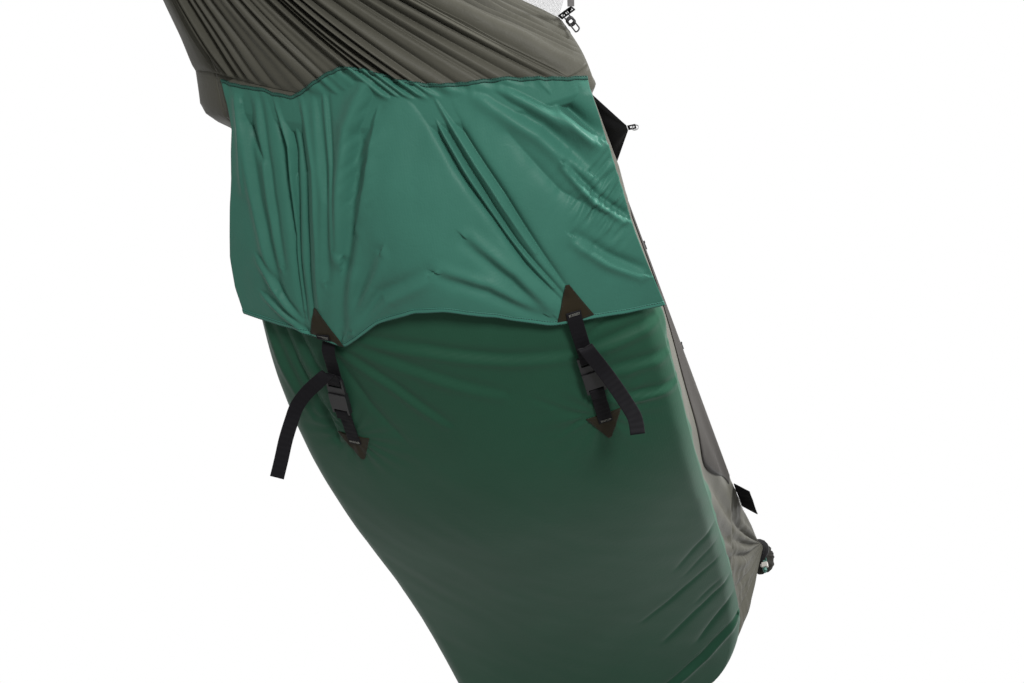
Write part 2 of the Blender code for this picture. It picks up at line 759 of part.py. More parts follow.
def cells(name, frame, lengths, widths, heights, filled, finish, around=False):
    """A moulded piece: the filled cells of a grid, placed by a matrix.
    Around the frame's X, the widths are a full turn of angles and the heights radii."""
    points, index_of, faces = [], {}, []
    counts = (len(lengths) - 1, len(widths) - 1, len(heights) - 1)

    def corner(i, j, k):
        if around:
            j %= counts[1]
        if (i, j, k) not in index_of:
            index_of[(i, j, k)] = len(points)
            place = Vector((lengths[i], widths[j], heights[k]))
            if around:
                place.y = heights[k] * math.cos(widths[j])
                place.z = heights[k] * math.sin(widths[j])
            points.append(frame @ place)
        return index_of[(i, j, k)]

    def solid(i, j, k):
        if around:
            j %= counts[1]
        inside = 0 <= i < counts[0] and 0 <= j < counts[1] and 0 <= k < counts[2]
        return inside and filled(i, j, k)

    for i in range(counts[0]):
        for j in range(counts[1]):
            for k in range(counts[2]):
                if not solid(i, j, k):
                    continue
                box = [corner(i + a, j + b, k + c) for a, b, c in CELL_CORNERS]
                for (step, face) in CELL_FACES:
                    if not solid(i + step[0], j + step[1], k + step[2]):
                        faces.append(tuple(box[index] for index in face))
    return add_object(name, points, faces, finish, smooth=False)


CELL_CORNERS = ((0, 0, 0), (1, 0, 0), (1, 1, 0), (0, 1, 0), (0, 0, 1), (1, 0, 1), (1, 1, 1), (0, 1, 1))
CELL_FACES = (((0, 0, -1), (0, 3, 2, 1)), ((0, 0, 1), (4, 5, 6, 7)), ((0, -1, 0), (0, 1, 5, 4)),
              ((1, 0, 0), (1, 2, 6, 5)), ((0, 1, 0), (2, 3, 7, 6)), ((-1, 0, 0), (3, 0, 4, 7)))


def running(start, *steps):
    """Places along a line, from a start and the steps that follow it."""
    places = [start]
    for step in steps:
        places.append(places[-1] + step)
    return places


def frame_at(origin, ahead, upward):
    """A matrix with X ahead and Z as near upward as it can be."""
    x = ahead.normalized()
    y = upward.cross(x).normalized()
    z = x.cross(y)
    return Matrix(((x.x, y.x, z.x, origin.x), (x.y, y.y, z.y, origin.y),
                   (x.z, y.z, z.z, origin.z), (0.0, 0.0, 0.0, 1.0)))


def tube(name, points, thickness, finish, closed=False):
    """A round cord or wire along a list of points."""
    curve = bpy.data.curves.new(name, "CURVE")
    curve.dimensions = "3D"
    curve.bevel_depth = thickness * HALF_SHARE
    curve.bevel_resolution = 2
    curve.render_resolution_u = 0
    curve.use_fill_caps = not closed
    line = curve.splines.new("POLY")
    line.points.add(len(points) - 1)
    for target, point in zip(line.points, points):
        target.co = (*point, 1.0)
    line.use_cyclic_u = closed
    curve.materials.append(finish)
    made = bpy.data.objects.new(name, curve)
    bpy.context.scene.collection.objects.link(made)
    return made


def smooth_route(route, spacing):
    """Points at even steps along a smooth curve through a route's own points."""
    dense = []
    last = len(route) - 1
    for index in range(last):
        before, here = route[max(0, index - 1)], route[index]
        after, beyond = route[index + 1], route[min(last, index + 2)]
        for step in range(ROUTE_STEPS):
            t = step / ROUTE_STEPS
            dense.append(HALF_SHARE * ((2.0 * here) + (after - before) * t
                         + (2.0 * before - 5.0 * here + 4.0 * after - beyond) * t * t
                         + (3.0 * here - before - 3.0 * after + beyond) * t * t * t))
    dense.append(route[-1])
    total = sum((b - a).length for a, b in zip(dense, dense[1:]))
    count = max(2, round(total / spacing))
    places, passed, target = [dense[0]], 0.0, total / count
    for a, b in zip(dense, dense[1:]):
        run = (b - a).length
        while passed + run >= target and len(places) < count:
            places.append(a.lerp(b, (target - passed) / run))
            target += total / count
        passed += run
    places.append(dense[-1])
    return places


ROUTE_STEPS = 12


def turned(name, frame, outline, finish, sides=24):
    """A closed outline of (along, radius) places turned about the frame's X."""
    points, faces, rings = [], [], []
    for along, radius in outline:
        if radius == 0.0:
            rings.append([len(points)] * sides)
            points.append(frame @ Vector((along, 0.0, 0.0)))
            continue
        rings.append([len(points) + side for side in range(sides)])
        for side in range(sides):
            angle = 2.0 * math.pi * side / sides
            points.append(frame @ Vector((along, radius * math.cos(angle),
                                          radius * math.sin(angle))))
    for ring, beyond in zip(rings, rings[1:] + rings[:1]):
        for side in range(sides):
            after = (side + 1) % sides
            corners = [ring[side], beyond[side], beyond[after], ring[after]]
            kept = [index for place, index in enumerate(corners)
                    if index != corners[place - 1]]
            if len(set(kept)) > 2:
                faces.append(tuple(kept))
    return add_object(name, points, faces, finish)


# Patches, straps and buckles

def flap_outside(along, across):
    """Lift of a patch that lies on the flap."""
    down = (along - head_seam(across)) / (flap_hem(across) - head_seam(across))
    over = (across + FLAP_RIGHT_BOTTOM) / (FLAP_LEFT_BOTTOM + FLAP_RIGHT_BOTTOM)
    return flap_lift(min(1.0, down), over) + FABRIC + PATCH_GAP


def shell_outside(along, across):
    return PATCH_GAP


def build_patch(name, base_along, across, direction, lift_of):
    """A triangle sewn flat, from its base to its blunt apex."""
    outer, inner = [], []
    for row in range(PATCH_ROWS + 1):
        share = row / PATCH_ROWS
        along = base_along + direction * PATCH_LENGTH * share
        half_width = mix(PATCH_HALF_WIDTH, PATCH_TIP_HALF_WIDTH, share)
        outer_row, inner_row = [], []
        for side in (-1.0, -HALF_SHARE, 0.0, HALF_SHARE, 1.0):
            place = across + side * half_width
            lift = lift_of(along, place)
            outer_row.append(bed_point(along, place, -lift - PATCH_THICK))
            inner_row.append(bed_point(along, place, -lift))
        outer.append(outer_row)
        inner.append(inner_row)
    return sheet_solid(name, outer, inner, PATCH_CLOTH)


PATCH_ROWS = 4


def strap_frame(up_across, low_across):
    """X along the strap from the upper patch, Z away from the hammock."""
    start = bed_point(-STRAP_UP_REACH, up_across, -STRAP_UP_LIFT)
    end = bed_point(-STRAP_LOW_REACH, low_across, -STRAP_LOW_LIFT)
    middle = -(STRAP_UP_REACH + STRAP_LOW_REACH) * HALF_SHARE
    outward = bed_normal(middle, (up_across + low_across) * HALF_SHARE)
    return frame_at(start, end - start, -outward)


def in_frame(frame, along, height):
    return frame @ Vector((along, 0.0, height))


def wrap(frame, centre):
    """Places round a bar, from the inboard side over its far side to the outboard side."""
    places = []
    for step in range(WRAP_STEPS + 1):
        angle = math.pi * step / WRAP_STEPS
        places.append(in_frame(frame, centre + WRAP_RADIUS * math.sin(angle),
                               -WRAP_RADIUS * math.cos(angle)))
    return places


WRAP_STEPS = 6

MALE_PLACES = running(MALE_START, LADDER_BAR, LADDER_SLOT, LADDER_BAR, LADDER_SLOT,
                      MALE_NECK, GUIDE_LENGTH, PRONG_LENGTH - GUIDE_LENGTH)
SECOND_BAR = (MALE_PLACES[2] + MALE_PLACES[3]) * HALF_SHARE
FEMALE_PLACES = running(MALE_PLACES[5] + BUCKLE_GAP, FEMALE_CAVITY, FEMALE_BACK,
                        FEMALE_END_SLOT, LADDER_BAR)
END_BAR = (FEMALE_PLACES[3] + FEMALE_PLACES[4]) * HALF_SHARE


def mirrored(half_places):
    return [-place for place in reversed(half_places)] + list(half_places)


def build_male(name, frame):
    half = BUCKLE_WIDTH * HALF_SHARE
    prong_outer = half - FEMALE_WALL - BUCKLE_GAP
    widths = mirrored([GUIDE_WIDTH * HALF_SHARE, prong_outer - PRONG_WIDTH, half - RAIL,
                       prong_outer, half])
    heights = mirrored([LADDER_BAR * HALF_SHARE, MALE_THICK * HALF_SHARE])

    def filled(i, j, k):
        rail = j in (0, 1, 7, 8)
        prong = j in (1, 2, 6, 7)
        if i in (0, 2):
            return rail or k == 1
        if i in (1, 3):
            return rail
        if i == 4:
            return True
        return prong or (i == 5 and j == 4)

    return cells(name, frame, MALE_PLACES, widths, heights, filled, BLACK_PLASTIC)


def build_female(name, frame):
    half = BUCKLE_WIDTH * HALF_SHARE
    cavity = MALE_THICK * HALF_SHARE + BUCKLE_GAP
    widths = mirrored([half - RAIL, half - FEMALE_WALL, half])
    heights = mirrored([LADDER_BAR * HALF_SHARE, cavity, cavity + FEMALE_WALL])

    def filled(i, j, k):
        if i == 0:
            return k in (0, 4) or j in (0, 4)
        if i == 1:
            return True
        if i == 2:
            return j in (0, 1, 3, 4)
        return j in (0, 1, 3, 4) or k == 2

    return cells(name, frame, FEMALE_PLACES, widths, heights, filled, BLACK_PLASTIC)


def sewn_end(along, across, lift):
    return bed_point(along, across, -lift - PATCH_THICK - SEWN_GAP
                     - WEBBING_THICK * HALF_SHARE)


def build_strap(side, up_across, low_across, tail_route):
    frame = strap_frame(up_across, low_across)
    across = frame.to_3x3() @ Vector((0.0, 1.0, 0.0))
    build_patch(side + "_upper_patch", -STRAP_UP_REACH, up_across, -1.0, flap_outside)
    build_patch(side + "_lower_patch", -STRAP_LOW_REACH, low_across, 1.0, shell_outside)
    build_male(side + "_buckle_male", frame)
    build_female(side + "_buckle_female", frame)

    layer = -(WRAP_RADIUS + WEBBING_THICK + LAYER_GAP)
    above = -STRAP_UP_REACH - WEBBING_SEWN
    upper = [sewn_end(above, up_across, flap_outside(above, up_across)),
             sewn_end(-STRAP_UP_REACH, up_across, flap_outside(-STRAP_UP_REACH, up_across)),
             in_frame(frame, WEBBING_SEWN, layer), in_frame(frame, MALE_PLACES[2], layer)]
    ribbon(side + "_upper_webbing", upper, [across] * len(upper), WEBBING_WIDTH,
           WEBBING_THICK, BLACK_WEBBING)

    below = -STRAP_LOW_REACH + WEBBING_SEWN
    lower = [sewn_end(below, low_across, PATCH_GAP),
             sewn_end(-STRAP_LOW_REACH, low_across, PATCH_GAP)]
    bend = []
    for step in range(WRAP_STEPS + 1):
        angle = math.pi * step / WRAP_STEPS
        bend.append(in_frame(frame, END_BAR - WRAP_RADIUS * math.sin(angle),
                             -WRAP_RADIUS * math.cos(angle)))
    lower += bend
    lower.append(in_frame(frame, END_BAR + WRAP_TAIL, WRAP_RADIUS))
    ribbon(side + "_lower_webbing", lower, [across] * len(lower), WEBBING_WIDTH,
           WEBBING_THICK, BLACK_WEBBING)

    start = [in_frame(frame, SECOND_BAR - WRAP_TAIL, -WRAP_RADIUS)] + wrap(frame, SECOND_BAR)
    start.append(in_frame(frame, SECOND_BAR - WRAP_TAIL, WRAP_RADIUS))
    route = [start[-1]] + [frame @ Vector(place) for place in tail_route]
    hanging = smooth_route(route, TAIL_STEP)
    facing = Vector(TAIL_FACING_SHARES)
    places = start[:-1] + hanging
    sides = [across] * (len(start) - 1)
    for index, place in enumerate(hanging):
        ahead = hanging[min(index + 1, len(hanging) - 1)] - hanging[max(index - 1, 0)]
        face_on = ahead.cross(facing).normalized()
        if face_on.dot(across) < 0.0:
            face_on = -face_on
        blend = across.lerp(face_on, ease(index / (len(hanging) * HALF_SHARE)))
        sides.append(blend - ahead.normalized() * blend.dot(ahead.normalized()))
    ribbon(side + "_tail_webbing", places, sides, WEBBING_WIDTH, WEBBING_THICK,
           BLACK_WEBBING)


build_strap("left", STRAP_LEFT_UP, STRAP_LEFT_LOW, LEFT_TAIL_ROUTE)
build_strap("right", STRAP_RIGHT_UP, STRAP_RIGHT_LOW, RIGHT_TAIL_ROUTE)


# Gathered ends: caps, cord bights and the links that hold them

X_AXIS = Vector((1.0, 0.0, 0.0))
Y_AXIS = Vector((0.0, 1.0, 0.0))
Z_AXIS = Vector((0.0, 0.0, 1.0))


def end_frame(end):
    """X points from the gathered end away from the hammock, Z stays up."""
    return frame_at(Vector((end * GATHER_HALF_SPAN, 0.0, 0.0)), X_AXIS * end, Z_AXIS)


CAP_INNER = GATHER_RADIUS + CAP_FIT
CAP_OUTER = CAP_INNER + CAP_WALL
FLANGE = CAP_OUTER + CAP_FLARE
RIDGE_Z = (CAP_OUTER + FLANGE) * HALF_SHARE


def build_cap(name, end):
    """A cap over the gathered cloth, with slots for the bight and a hole for the ridge line."""
    cord = BIGHT_CORD * HALF_SHARE + HOLE_FIT
    ridge = RIDGE_CORD * HALF_SHARE + HOLE_FIT
    lengths = [-CAP_SKIRT, CAP_FIT, CAP_THICK]
    radii = [cord, BIGHT_HALF_WIDTH - cord, BIGHT_HALF_WIDTH + cord, CAP_INNER, CAP_OUTER,
             RIDGE_Z - ridge, RIDGE_Z + ridge, FLANGE]
    narrow = math.degrees(ridge / RIDGE_Z)
    angles = sorted([step * CAP_STEP for step in range(CAP_STEPS + 1)]
                    + [QUARTER - narrow, QUARTER + narrow])
    turns = [math.radians(angle) for angle in angles]

    def filled(i, j, k):
        middle = (angles[j] + angles[j + 1]) * HALF_SHARE
        if i == 0:
            return k == 3
        if k == 5:
            return abs(middle - QUARTER) > narrow
        if k == 1:
            return CAP_SLOT < middle % (QUARTER + QUARTER) < QUARTER + QUARTER - CAP_SLOT
        return True

    return cells(name, end_frame(end), lengths, turns, radii, filled, BLACK_PLASTIC, True)


CAP_STEPS = 16
QUARTER = 90.0
CAP_STEP = QUARTER * 4.0 / CAP_STEPS
CAP_SLOT = CAP_STEP


def stadium(frame, first, last, half_width, steps=8):
    """A closed narrow loop in the frame's X-Y plane, with round ends."""
    places = []
    for centre, direction in ((last, 1.0), (first, -1.0)):
        for step in range(steps + 1):
            angle = math.pi * (step / steps - HALF_SHARE)
            places.append(frame @ Vector((centre + direction * half_width * math.cos(angle),
                                          direction * half_width * math.sin(angle), 0.0)))
    return places


BIGHT_END = CAP_THICK + BIGHT_REACH
LINK_INNER = BIGHT_END - BIGHT_CORD - LINK_PLAY - LINK_WIRE * HALF_SHARE


def build_bight(name, end):
    half = BIGHT_HALF_WIDTH
    far = BIGHT_END - BIGHT_CORD * HALF_SHARE - half
    places = stadium(end_frame(end), -BIGHT_INSIDE + half, far, half)
    return tube(name, places, BIGHT_CORD, CORD_BLACK, closed=True)


def build_link(name, end):
    """A wire link open on its upper side, where the collar closes it."""
    frame = end_frame(end)
    radius = LINK_HALF_HEIGHT
    first = LINK_INNER + radius
    last = LINK_INNER + LINK_LENGTH - radius
    opening = LINK_INNER + LINK_OPENING_START
    places = [Vector((opening, 0.0, radius))]
    places += [Vector((first - radius * math.cos(angle), 0.0, radius * math.sin(angle)))
               for angle in turn_steps(math.pi * HALF_SHARE, -math.pi * HALF_SHARE)]
    places += [Vector((last + radius * math.cos(angle), 0.0, radius * math.sin(angle)))
               for angle in turn_steps(-math.pi * HALF_SHARE, math.pi * HALF_SHARE)]
    places.append(Vector((opening + LINK_OPENING, 0.0, radius)))
    return tube(name, [frame @ place for place in places], LINK_WIRE, ALLOY)


def turn_steps(first, last):
    return [mix(first, last, step / LINK_STEPS) for step in range(LINK_STEPS + 1)]


LINK_STEPS = 7


def ring_piece(name, frame, length, bore, radius, finish, sides=16):
    """A round collar or bead about the frame's X."""
    half = length * HALF_SHARE
    return turned(name, frame, [(-half, bore), (-half, radius), (half, radius), (half, bore)],
                  finish, sides)


def build_collar(name, end):
    middle = LINK_INNER + LINK_OPENING_START + LINK_OPENING * HALF_SHARE
    frame = end_frame(end) @ Matrix.Translation(Vector((middle, 0.0, LINK_HALF_HEIGHT)))
    return ring_piece(name, frame, COLLAR_LENGTH, LINK_WIRE * HALF_SHARE + COLLAR_FIT,
                      COLLAR_RADIUS, ALLOY)


for END_NAME, END_SIDE in (("head", -1.0), ("foot", 1.0)):
    build_cap(END_NAME + "_cap", END_SIDE)
    build_bight(END_NAME + "_bight", END_SIDE)
    build_link(END_NAME + "_link", END_SIDE)
    build_collar(END_NAME + "_link_collar", END_SIDE)


# Ridge line

def build_ridge():
    """A cord through both caps, each end turned back over its flange."""
    rim = FLANGE + RIDGE_CORD * HALF_SHARE + HOLE_FIT
    face = GATHER_HALF_SPAN + CAP_THICK + RIDGE_CORD * HALF_SHARE + HOLE_FIT
    bend = RIDGE_CORD
    half = [(GATHER_HALF_SPAN * share, RIDGE_Z) for share in RIDGE_SHARES]
    half += [(face - bend * HALF_SHARE, RIDGE_Z), (face + bend, RIDGE_Z + bend * HALF_SHARE),
             (face + bend, rim), (face, rim + bend), (face - bend, rim + bend),
             (face - RIDGE_TIE, rim + bend)]
    left = [Vector((-x, 0.0, z)) for x, z in reversed(half)]
    right = [Vector((x, 0.0, z)) for x, z in half]
    return tube("ridge_line", left + right, RIDGE_CORD, CORD_BLACK)


RIDGE_SHARES = (0.1, 0.3, 0.5, 0.7, 0.9, 0.99)
build_ridge()


# Net canopy

FOOT_END = Vector((GATHER_HALF_SPAN, 0.0, 0.0))
NET_TOP = RIDGE_Z - RIDGE_CORD * HALF_SHARE - NET_TOP_GAP - NET_THICK


def hem_route(side):
    """The corners of a finished hem, from the head gather to the foot gather."""
    head = gather_point(-1.0, side, GATHER_RADIUS)
    foot = gather_point(1.0, side, GATHER_RADIUS)
    entry = hem_point(side, HEM_ENTRY_SHARE)
    if side > 0.0:
        return [head, entry, LEFT_CORNER, foot]
    return [head, RIGHT_CORNER, entry, foot]


def hem_at(side, x):
    route = hem_route(side)
    for first, last in zip(route, route[1:]):
        if x <= last.x:
            return first.lerp(last, (x - first.x) / (last.x - first.x))
    return route[-1]


def net_foot(side, x):
    """The net's lower edge, just inside and above the hem."""
    return hem_at(side, x) + Vector((0.0, -side * NET_HEM_INSET, NET_HEM_RISE))


def net_head(side, x):
    return Vector((x, side * NET_HEM_INSET, NET_TOP))


def build_net(name, feet, heads, peak=None):
    """A sheet of net hung between its lower edge and the ridge line."""
    outer = []
    for index, (foot, head) in enumerate(zip(feet, heads)):
        column = []
        pull = Vector((0.0, 0.0, 0.0))
        if peak is not None:
            pull = peak - feet[-1].lerp(heads[-1], PEAK_AT_SHARE)
            pull *= (index / (len(feet) - 1)) ** 2
        for row in range(NET_ROWS + 1):
            share = row / NET_ROWS
            sag = NET_SAG * math.sin(math.pi * share)
            if share <= PEAK_AT_SHARE:
                tent = share / PEAK_AT_SHARE
            else:
                tent = (1.0 - share) / (1.0 - PEAK_AT_SHARE)
            column.append(foot.lerp(head, share) - Z_AXIS * sag + pull * tent)
        outer.append(column)
    return sheet_solid(name, outer, offset_grid(outer, NET_THICK), BLACK_NET)


NET_ROWS = 5


def spread(first, last, count):
    return [mix(first, last, index / count) for index in range(count + 1)]


NET_REACH = GATHER_HALF_SPAN - NET_END_INSET
DOOR_HEAD_X = mix(GATHER_HALF_SPAN, RIGHT_TIE_X, DOOR_HEAD_SHARE)
DOOR_FOOT_X = mix(GATHER_HALF_SPAN, RIGHT_TIE_X, DOOR_FOOT_SHARE)


def build_nets():
    entry = hem_point(1.0, HEM_ENTRY_SHARE).x
    left = spread(-NET_REACH, entry, 3) + spread(entry, LEFT_TIE_X, LEFT_NET_COLUMNS)[1:]
    left += spread(LEFT_TIE_X, NET_REACH, 3)[1:]
    build_net("net_left", [net_foot(1.0, x) for x in left], [net_head(1.0, x) for x in left])

    feet = [net_foot(-1.0, x) for x in spread(-NET_REACH, RIGHT_TIE_X, HEAD_NET_COLUMNS)]
    heads = [net_head(-1.0, x) for x in spread(-NET_REACH, -HEAD_NET_END, HEAD_NET_COLUMNS)]
    peak = RIGHT_CORNER + Vector((-PEAK_BACK, -PEAK_OUT, PEAK_RISE))
    build_net("net_head_right", feet, heads, peak)

    entry = hem_point(-1.0, HEM_ENTRY_SHARE).x
    feet = [net_foot(-1.0, x) for x in spread(DOOR_HEAD_X, entry, DOOR_COLUMNS)
            + spread(entry, DOOR_FOOT_X, 3)[1:]]
    heads = [net_head(-1.0, x) for x in spread(-DOOR_NET_END, entry, DOOR_COLUMNS)
             + spread(entry, DOOR_FOOT_X, 3)[1:]]
    build_net("net_door", feet, heads)


LEFT_NET_COLUMNS = 8
HEAD_NET_COLUMNS = 6
DOOR_COLUMNS = 8
build_nets()


# Door zip along the right hem

def zip_frame():
    """X along the hem toward the foot, Z up and outward from the tape's face."""
    ahead = (FOOT_END - RIGHT_CORNER).normalized()
    lean = math.radians(TAPE_SLOPE)
    outward = Vector((0.0, -math.sin(lean), math.cos(lean)))
    start = net_foot(-1.0, DOOR_HEAD_X)
    frame = frame_at(start, ahead, outward)
    return frame @ Matrix.Translation(Vector((0.0, 0.0, TAPE_STANDOFF)))


ZIP_FRAME = zip_frame()
HEM_LENGTH = (FOOT_END - RIGHT_CORNER).length
COIL_LOW = TAPE_THICK + COIL_NECK
COIL_TOP = COIL_LOW + COIL_THICK
ZIP_MIDDLE = TAPE_START + TAPE_WIDTH * HALF_SHARE


def build_tape():
    half = TAPE_WIDTH * HALF_SHARE
    coil = COIL_WIDTH * HALF_SHARE
    widths = [ZIP_MIDDLE + place for place in mirrored([coil * NECK_SHARE, coil, half])]
    heights = [0.0, TAPE_THICK, COIL_LOW, COIL_TOP]
    length = HEM_LENGTH * (DOOR_HEAD_SHARE - ZIP_FOOT_SHARE)

    def filled(i, j, k):
        if k == 0:
            return True
        return j == 2 if k == 1 else j in (1, 2, 3)

    return cells("zip_tape", ZIP_FRAME, [0.0, length], widths, heights, filled, BLACK_WEBBING)


NECK_SHARE = 0.35
SLIDER_TOP = COIL_TOP + SLIDER_GAP + SLIDER_WALL
PIN_HEIGHT = SLIDER_TOP + SLIDER_GAP + PULL_HOLE


def slider_frame(share):
    start = HEM_LENGTH * (DOOR_HEAD_SHARE - share)
    return ZIP_FRAME @ Matrix.Translation(Vector((start, ZIP_MIDDLE, 0.0)))


def build_slider(name, share):
    """A body clamped round the coil, with a lug that holds the pull's pin."""
    coil = COIL_WIDTH * HALF_SHARE
    inner = coil * NECK_SHARE + SLIDER_GAP
    lengths = mirrored([PULL_HOLE, PULL_HOLE + LUG_WALL, SLIDER_LENGTH * HALF_SHARE])
    widths = mirrored([LUG_HALF_WIDTH, inner, coil + SLIDER_GAP,
                       coil + SLIDER_GAP + SLIDER_WALL])
    heights = [TAPE_THICK + SLIDER_GAP, COIL_LOW - SLIDER_GAP, COIL_TOP + SLIDER_GAP,
               SLIDER_TOP, PIN_HEIGHT - PULL_HOLE, PIN_HEIGHT + PULL_HOLE,
               PIN_HEIGHT + PULL_HOLE + LUG_WALL]

    def filled(i, j, k):
        if k == 0:
            return j not in (2, 3, 4)
        if k == 1:
            return j in (0, 6)
        if k == 2:
            return True
        if j != 3 or i in (0, 4):
            return False
        return i != 2 or k != 4

    return cells(name, slider_frame(share), lengths, widths, heights, filled, BLACK_PLASTIC)


def build_pull(name, share):
    """A fork whose pin lies in the slider's lug; it points along the zip."""
    frame = slider_frame(share) @ Matrix.Translation(Vector((0.0, 0.0, PIN_HEIGHT)))
    reach = PULL_HOLE + LUG_WALL + LUG_WALL + SLIDER_GAP
    lengths = [-PULL_PIN, PULL_PIN, reach, PULL_LENGTH]
    arm = LUG_HALF_WIDTH + SLIDER_GAP
    widths = mirrored([arm, arm + PULL_ARM])
    heights = mirrored([PULL_THICK * HALF_SHARE])

    def filled(i, j, k):
        return j != 1 or i != 1

    return cells(name, frame, lengths, widths, heights, filled, BLACK_PLASTIC)


build_tape()
for ZIP_NAME, ZIP_SHARE in (("head", SLIDER_ONE_SHARE), ("foot", SLIDER_TWO_SHARE)):
    build_slider(ZIP_NAME + "_zip_slider", ZIP_SHARE)
    build_pull(ZIP_NAME + "_zip_pull", ZIP_SHARE)


# Loose corner of the door, outside the hem

def right_hem(share_from_tie):
    return hem_at(-1.0, mix(RIGHT_TIE_X, GATHER_HALF_SPAN, share_from_tie))


WING_APEX = (right_hem((WING_START_SHARE + WING_END_SHARE) * HALF_SHARE)
             + Vector((0.0, -WING_OUT, -WING_DROP)))


def build_wing():
    lift = Vector((0.0, -SEAM_GAP, SEAM_GAP * HALF_SHARE))
    first = right_hem(WING_START_SHARE) + lift
    last = right_hem(WING_END_SHARE) + lift
    tip = (last - first).normalized() * WING_TIP * HALF_SHARE
    outer = []
    for row in range(WING_ROWS + 1):
        share = row / WING_ROWS
        start, end = first.lerp(WING_APEX - tip, share), last.lerp(WING_APEX + tip, share)
        fold = Z_AXIS * WING_FOLD * math.sin(math.pi * share) * HALF_SHARE
        outer.append([start.lerp(end, column / WING_ROWS)
                      - fold * math.sin(math.pi * column / WING_ROWS)
                      for column in range(WING_ROWS + 1)])
    return sheet_solid("door_wing", outer, offset_grid(outer, FABRIC), BLACK_NET)


WING_ROWS = 5
build_wing()


# Tie-outs

def tab_frame(origin, direction):
    """X outward along a tab, Z up."""
    return frame_at(origin + direction.normalized() * TAB_GAP, direction, Z_AXIS)


def build_tab(name, frame, lengths, holes):
    half = TAB_WIDTH * HALF_SHARE
    widths = mirrored([TAB_HOLE * HALF_SHARE, half])
    heights = mirrored([TAB_THICK * HALF_SHARE])

    def filled(i, j, k):
        return j != 1 or i not in holes

    return cells(name, frame, lengths, widths, heights, filled, BLACK_WEBBING)


def build_ring(name, frame, bar):
    """A ring that hangs plumb from the bar at a tab's end."""
    places = []
    for step in range(RING_STEPS):
        angle = 2.0 * math.pi * step / RING_STEPS
        places.append(frame @ Vector((bar + RING_RADIUS * math.cos(angle), 0.0,
                                      RING_RADIUS * math.sin(angle) - RING_DROP)))
    return tube(name, places, RING_WIRE, ALLOY, closed=True)


RING_STEPS = 14
RING_TAB = running(0.0, TAB_ROOT, RING_HOLE, TAB_END)
RING_BAR = (RING_TAB[2] + RING_TAB[3]) * HALF_SHARE
GUY_TAB = running(0.0, TAB_ROOT, TAB_HOLE, TAB_BAR, TAB_HOLE, TAB_BAR, TAB_HOLE, TAB_END)
LEAD_AT = (GUY_TAB[2] + GUY_TAB[3]) * HALF_SHARE
GUY_AT = (GUY_TAB[5] + GUY_TAB[6]) * HALF_SHARE

GUY_DIRECTION = Vector((-GUY_BACK_SHARE, -GUY_OUT_SHARE, 0.0))
TAB_DIRECTION = Vector((-TAB_BACK_SHARE, -TAB_OUT_SHARE, 0.0))
HEM_DIRECTION = (FOOT_END - RIGHT_CORNER).normalized()
RIGHT_TAB_FRAME = tab_frame(RIGHT_CORNER, TAB_DIRECTION)
GUY_FRAME = frame_at(RIGHT_TAB_FRAME @ Vector((GUY_AT, 0.0, 0.0)), GUY_DIRECTION, Z_AXIS)
LEFT_TAB_FRAME = tab_frame(LEFT_CORNER, -TAB_DIRECTION)
WING_TAB_FRAME = tab_frame(WING_APEX, HEM_DIRECTION.cross(Z_AXIS))
STRAND_OFFSET = (TAB_THICK + GUY_CORD) * HALF_SHARE + CORD_FIT


def build_guy():
    """A doubled line round the tab's end bar, taut to beyond the view."""
    upright = Matrix.Rotation(math.radians(QUARTER), 4, "X")
    places = stadium(GUY_FRAME @ upright, STRAND_OFFSET, GUY_REACH, STRAND_OFFSET)
    tube("guy_line", places, GUY_CORD, CORD_BLACK, closed=True)


def build_tensioner():
    """A slider with one tunnel for each strand of the guy line."""
    inner = STRAND_OFFSET - GUY_CORD * HALF_SHARE - TENSIONER_FIT
    outer = STRAND_OFFSET + GUY_CORD * HALF_SHARE + TENSIONER_FIT
    widths = mirrored([GUY_CORD * HALF_SHARE + TENSIONER_FIT, TENSIONER_WIDTH * HALF_SHARE])
    heights = mirrored([inner, outer, outer + TENSIONER_WALL])
    start = TENSIONER_AT

    def filled(i, j, k):
        return j != 1 or k not in (1, 3)

    return cells("guy_tensioner", GUY_FRAME, [start, start + TENSIONER_LENGTH], widths,
                 heights, filled, GREY_PLASTIC)


def build_lead():
    """A short looped cord that hangs from the tab, with a knob round both strands."""
    half = (TAB_BAR + TAB_HOLE) * HALF_SHARE
    origin = RIGHT_TAB_FRAME @ Vector((LEAD_AT, 0.0, 0.0))
    hanging = TAB_DIRECTION * LEAD_OUT_SHARE - Z_AXIS * LEAD_DOWN_SHARE
    frame = frame_at(origin, hanging, TAB_DIRECTION.cross(Z_AXIS))
    top = half - STRAND_OFFSET - LEAD_RISE
    tube("lead_cord", stadium(frame, top, top + LEAD_DROP, half), GUY_CORD, CORD_BLACK,
         closed=True)
    at_knob = frame @ Matrix.Translation(Vector((KNOB_AT, 0.0, 0.0)))
    ring_piece("lead_knob", at_knob, KNOB_LENGTH, KNOB_BORE, KNOB_RADIUS, BLACK_PLASTIC)


def build_corner_patch():
    """A dark patch outside the wall beside the right tie-out."""
    columns = body_columns()
    rows = bed_sheet_rows(columns)[:2]
    patch = []
    for row in rows:
        hem, below = row[0], row[1]
        patch.append([hem.lerp(below, share) for share in (0.0, 1.0)])
    face = (patch[1][0] - patch[0][0]).cross(patch[0][1] - patch[0][0]).normalized()
    if face.dot(Y_AXIS) > 0.0:
        face = -face
    near = [[place + face * CORNER_PATCH_GAP for place in row] for row in patch]
    far = [[place + face * (CORNER_PATCH_GAP + CORNER_PATCH_THICK) for place in row]
           for row in patch]
    return sheet_solid("corner_patch", near, far, BLACK_WEBBING)


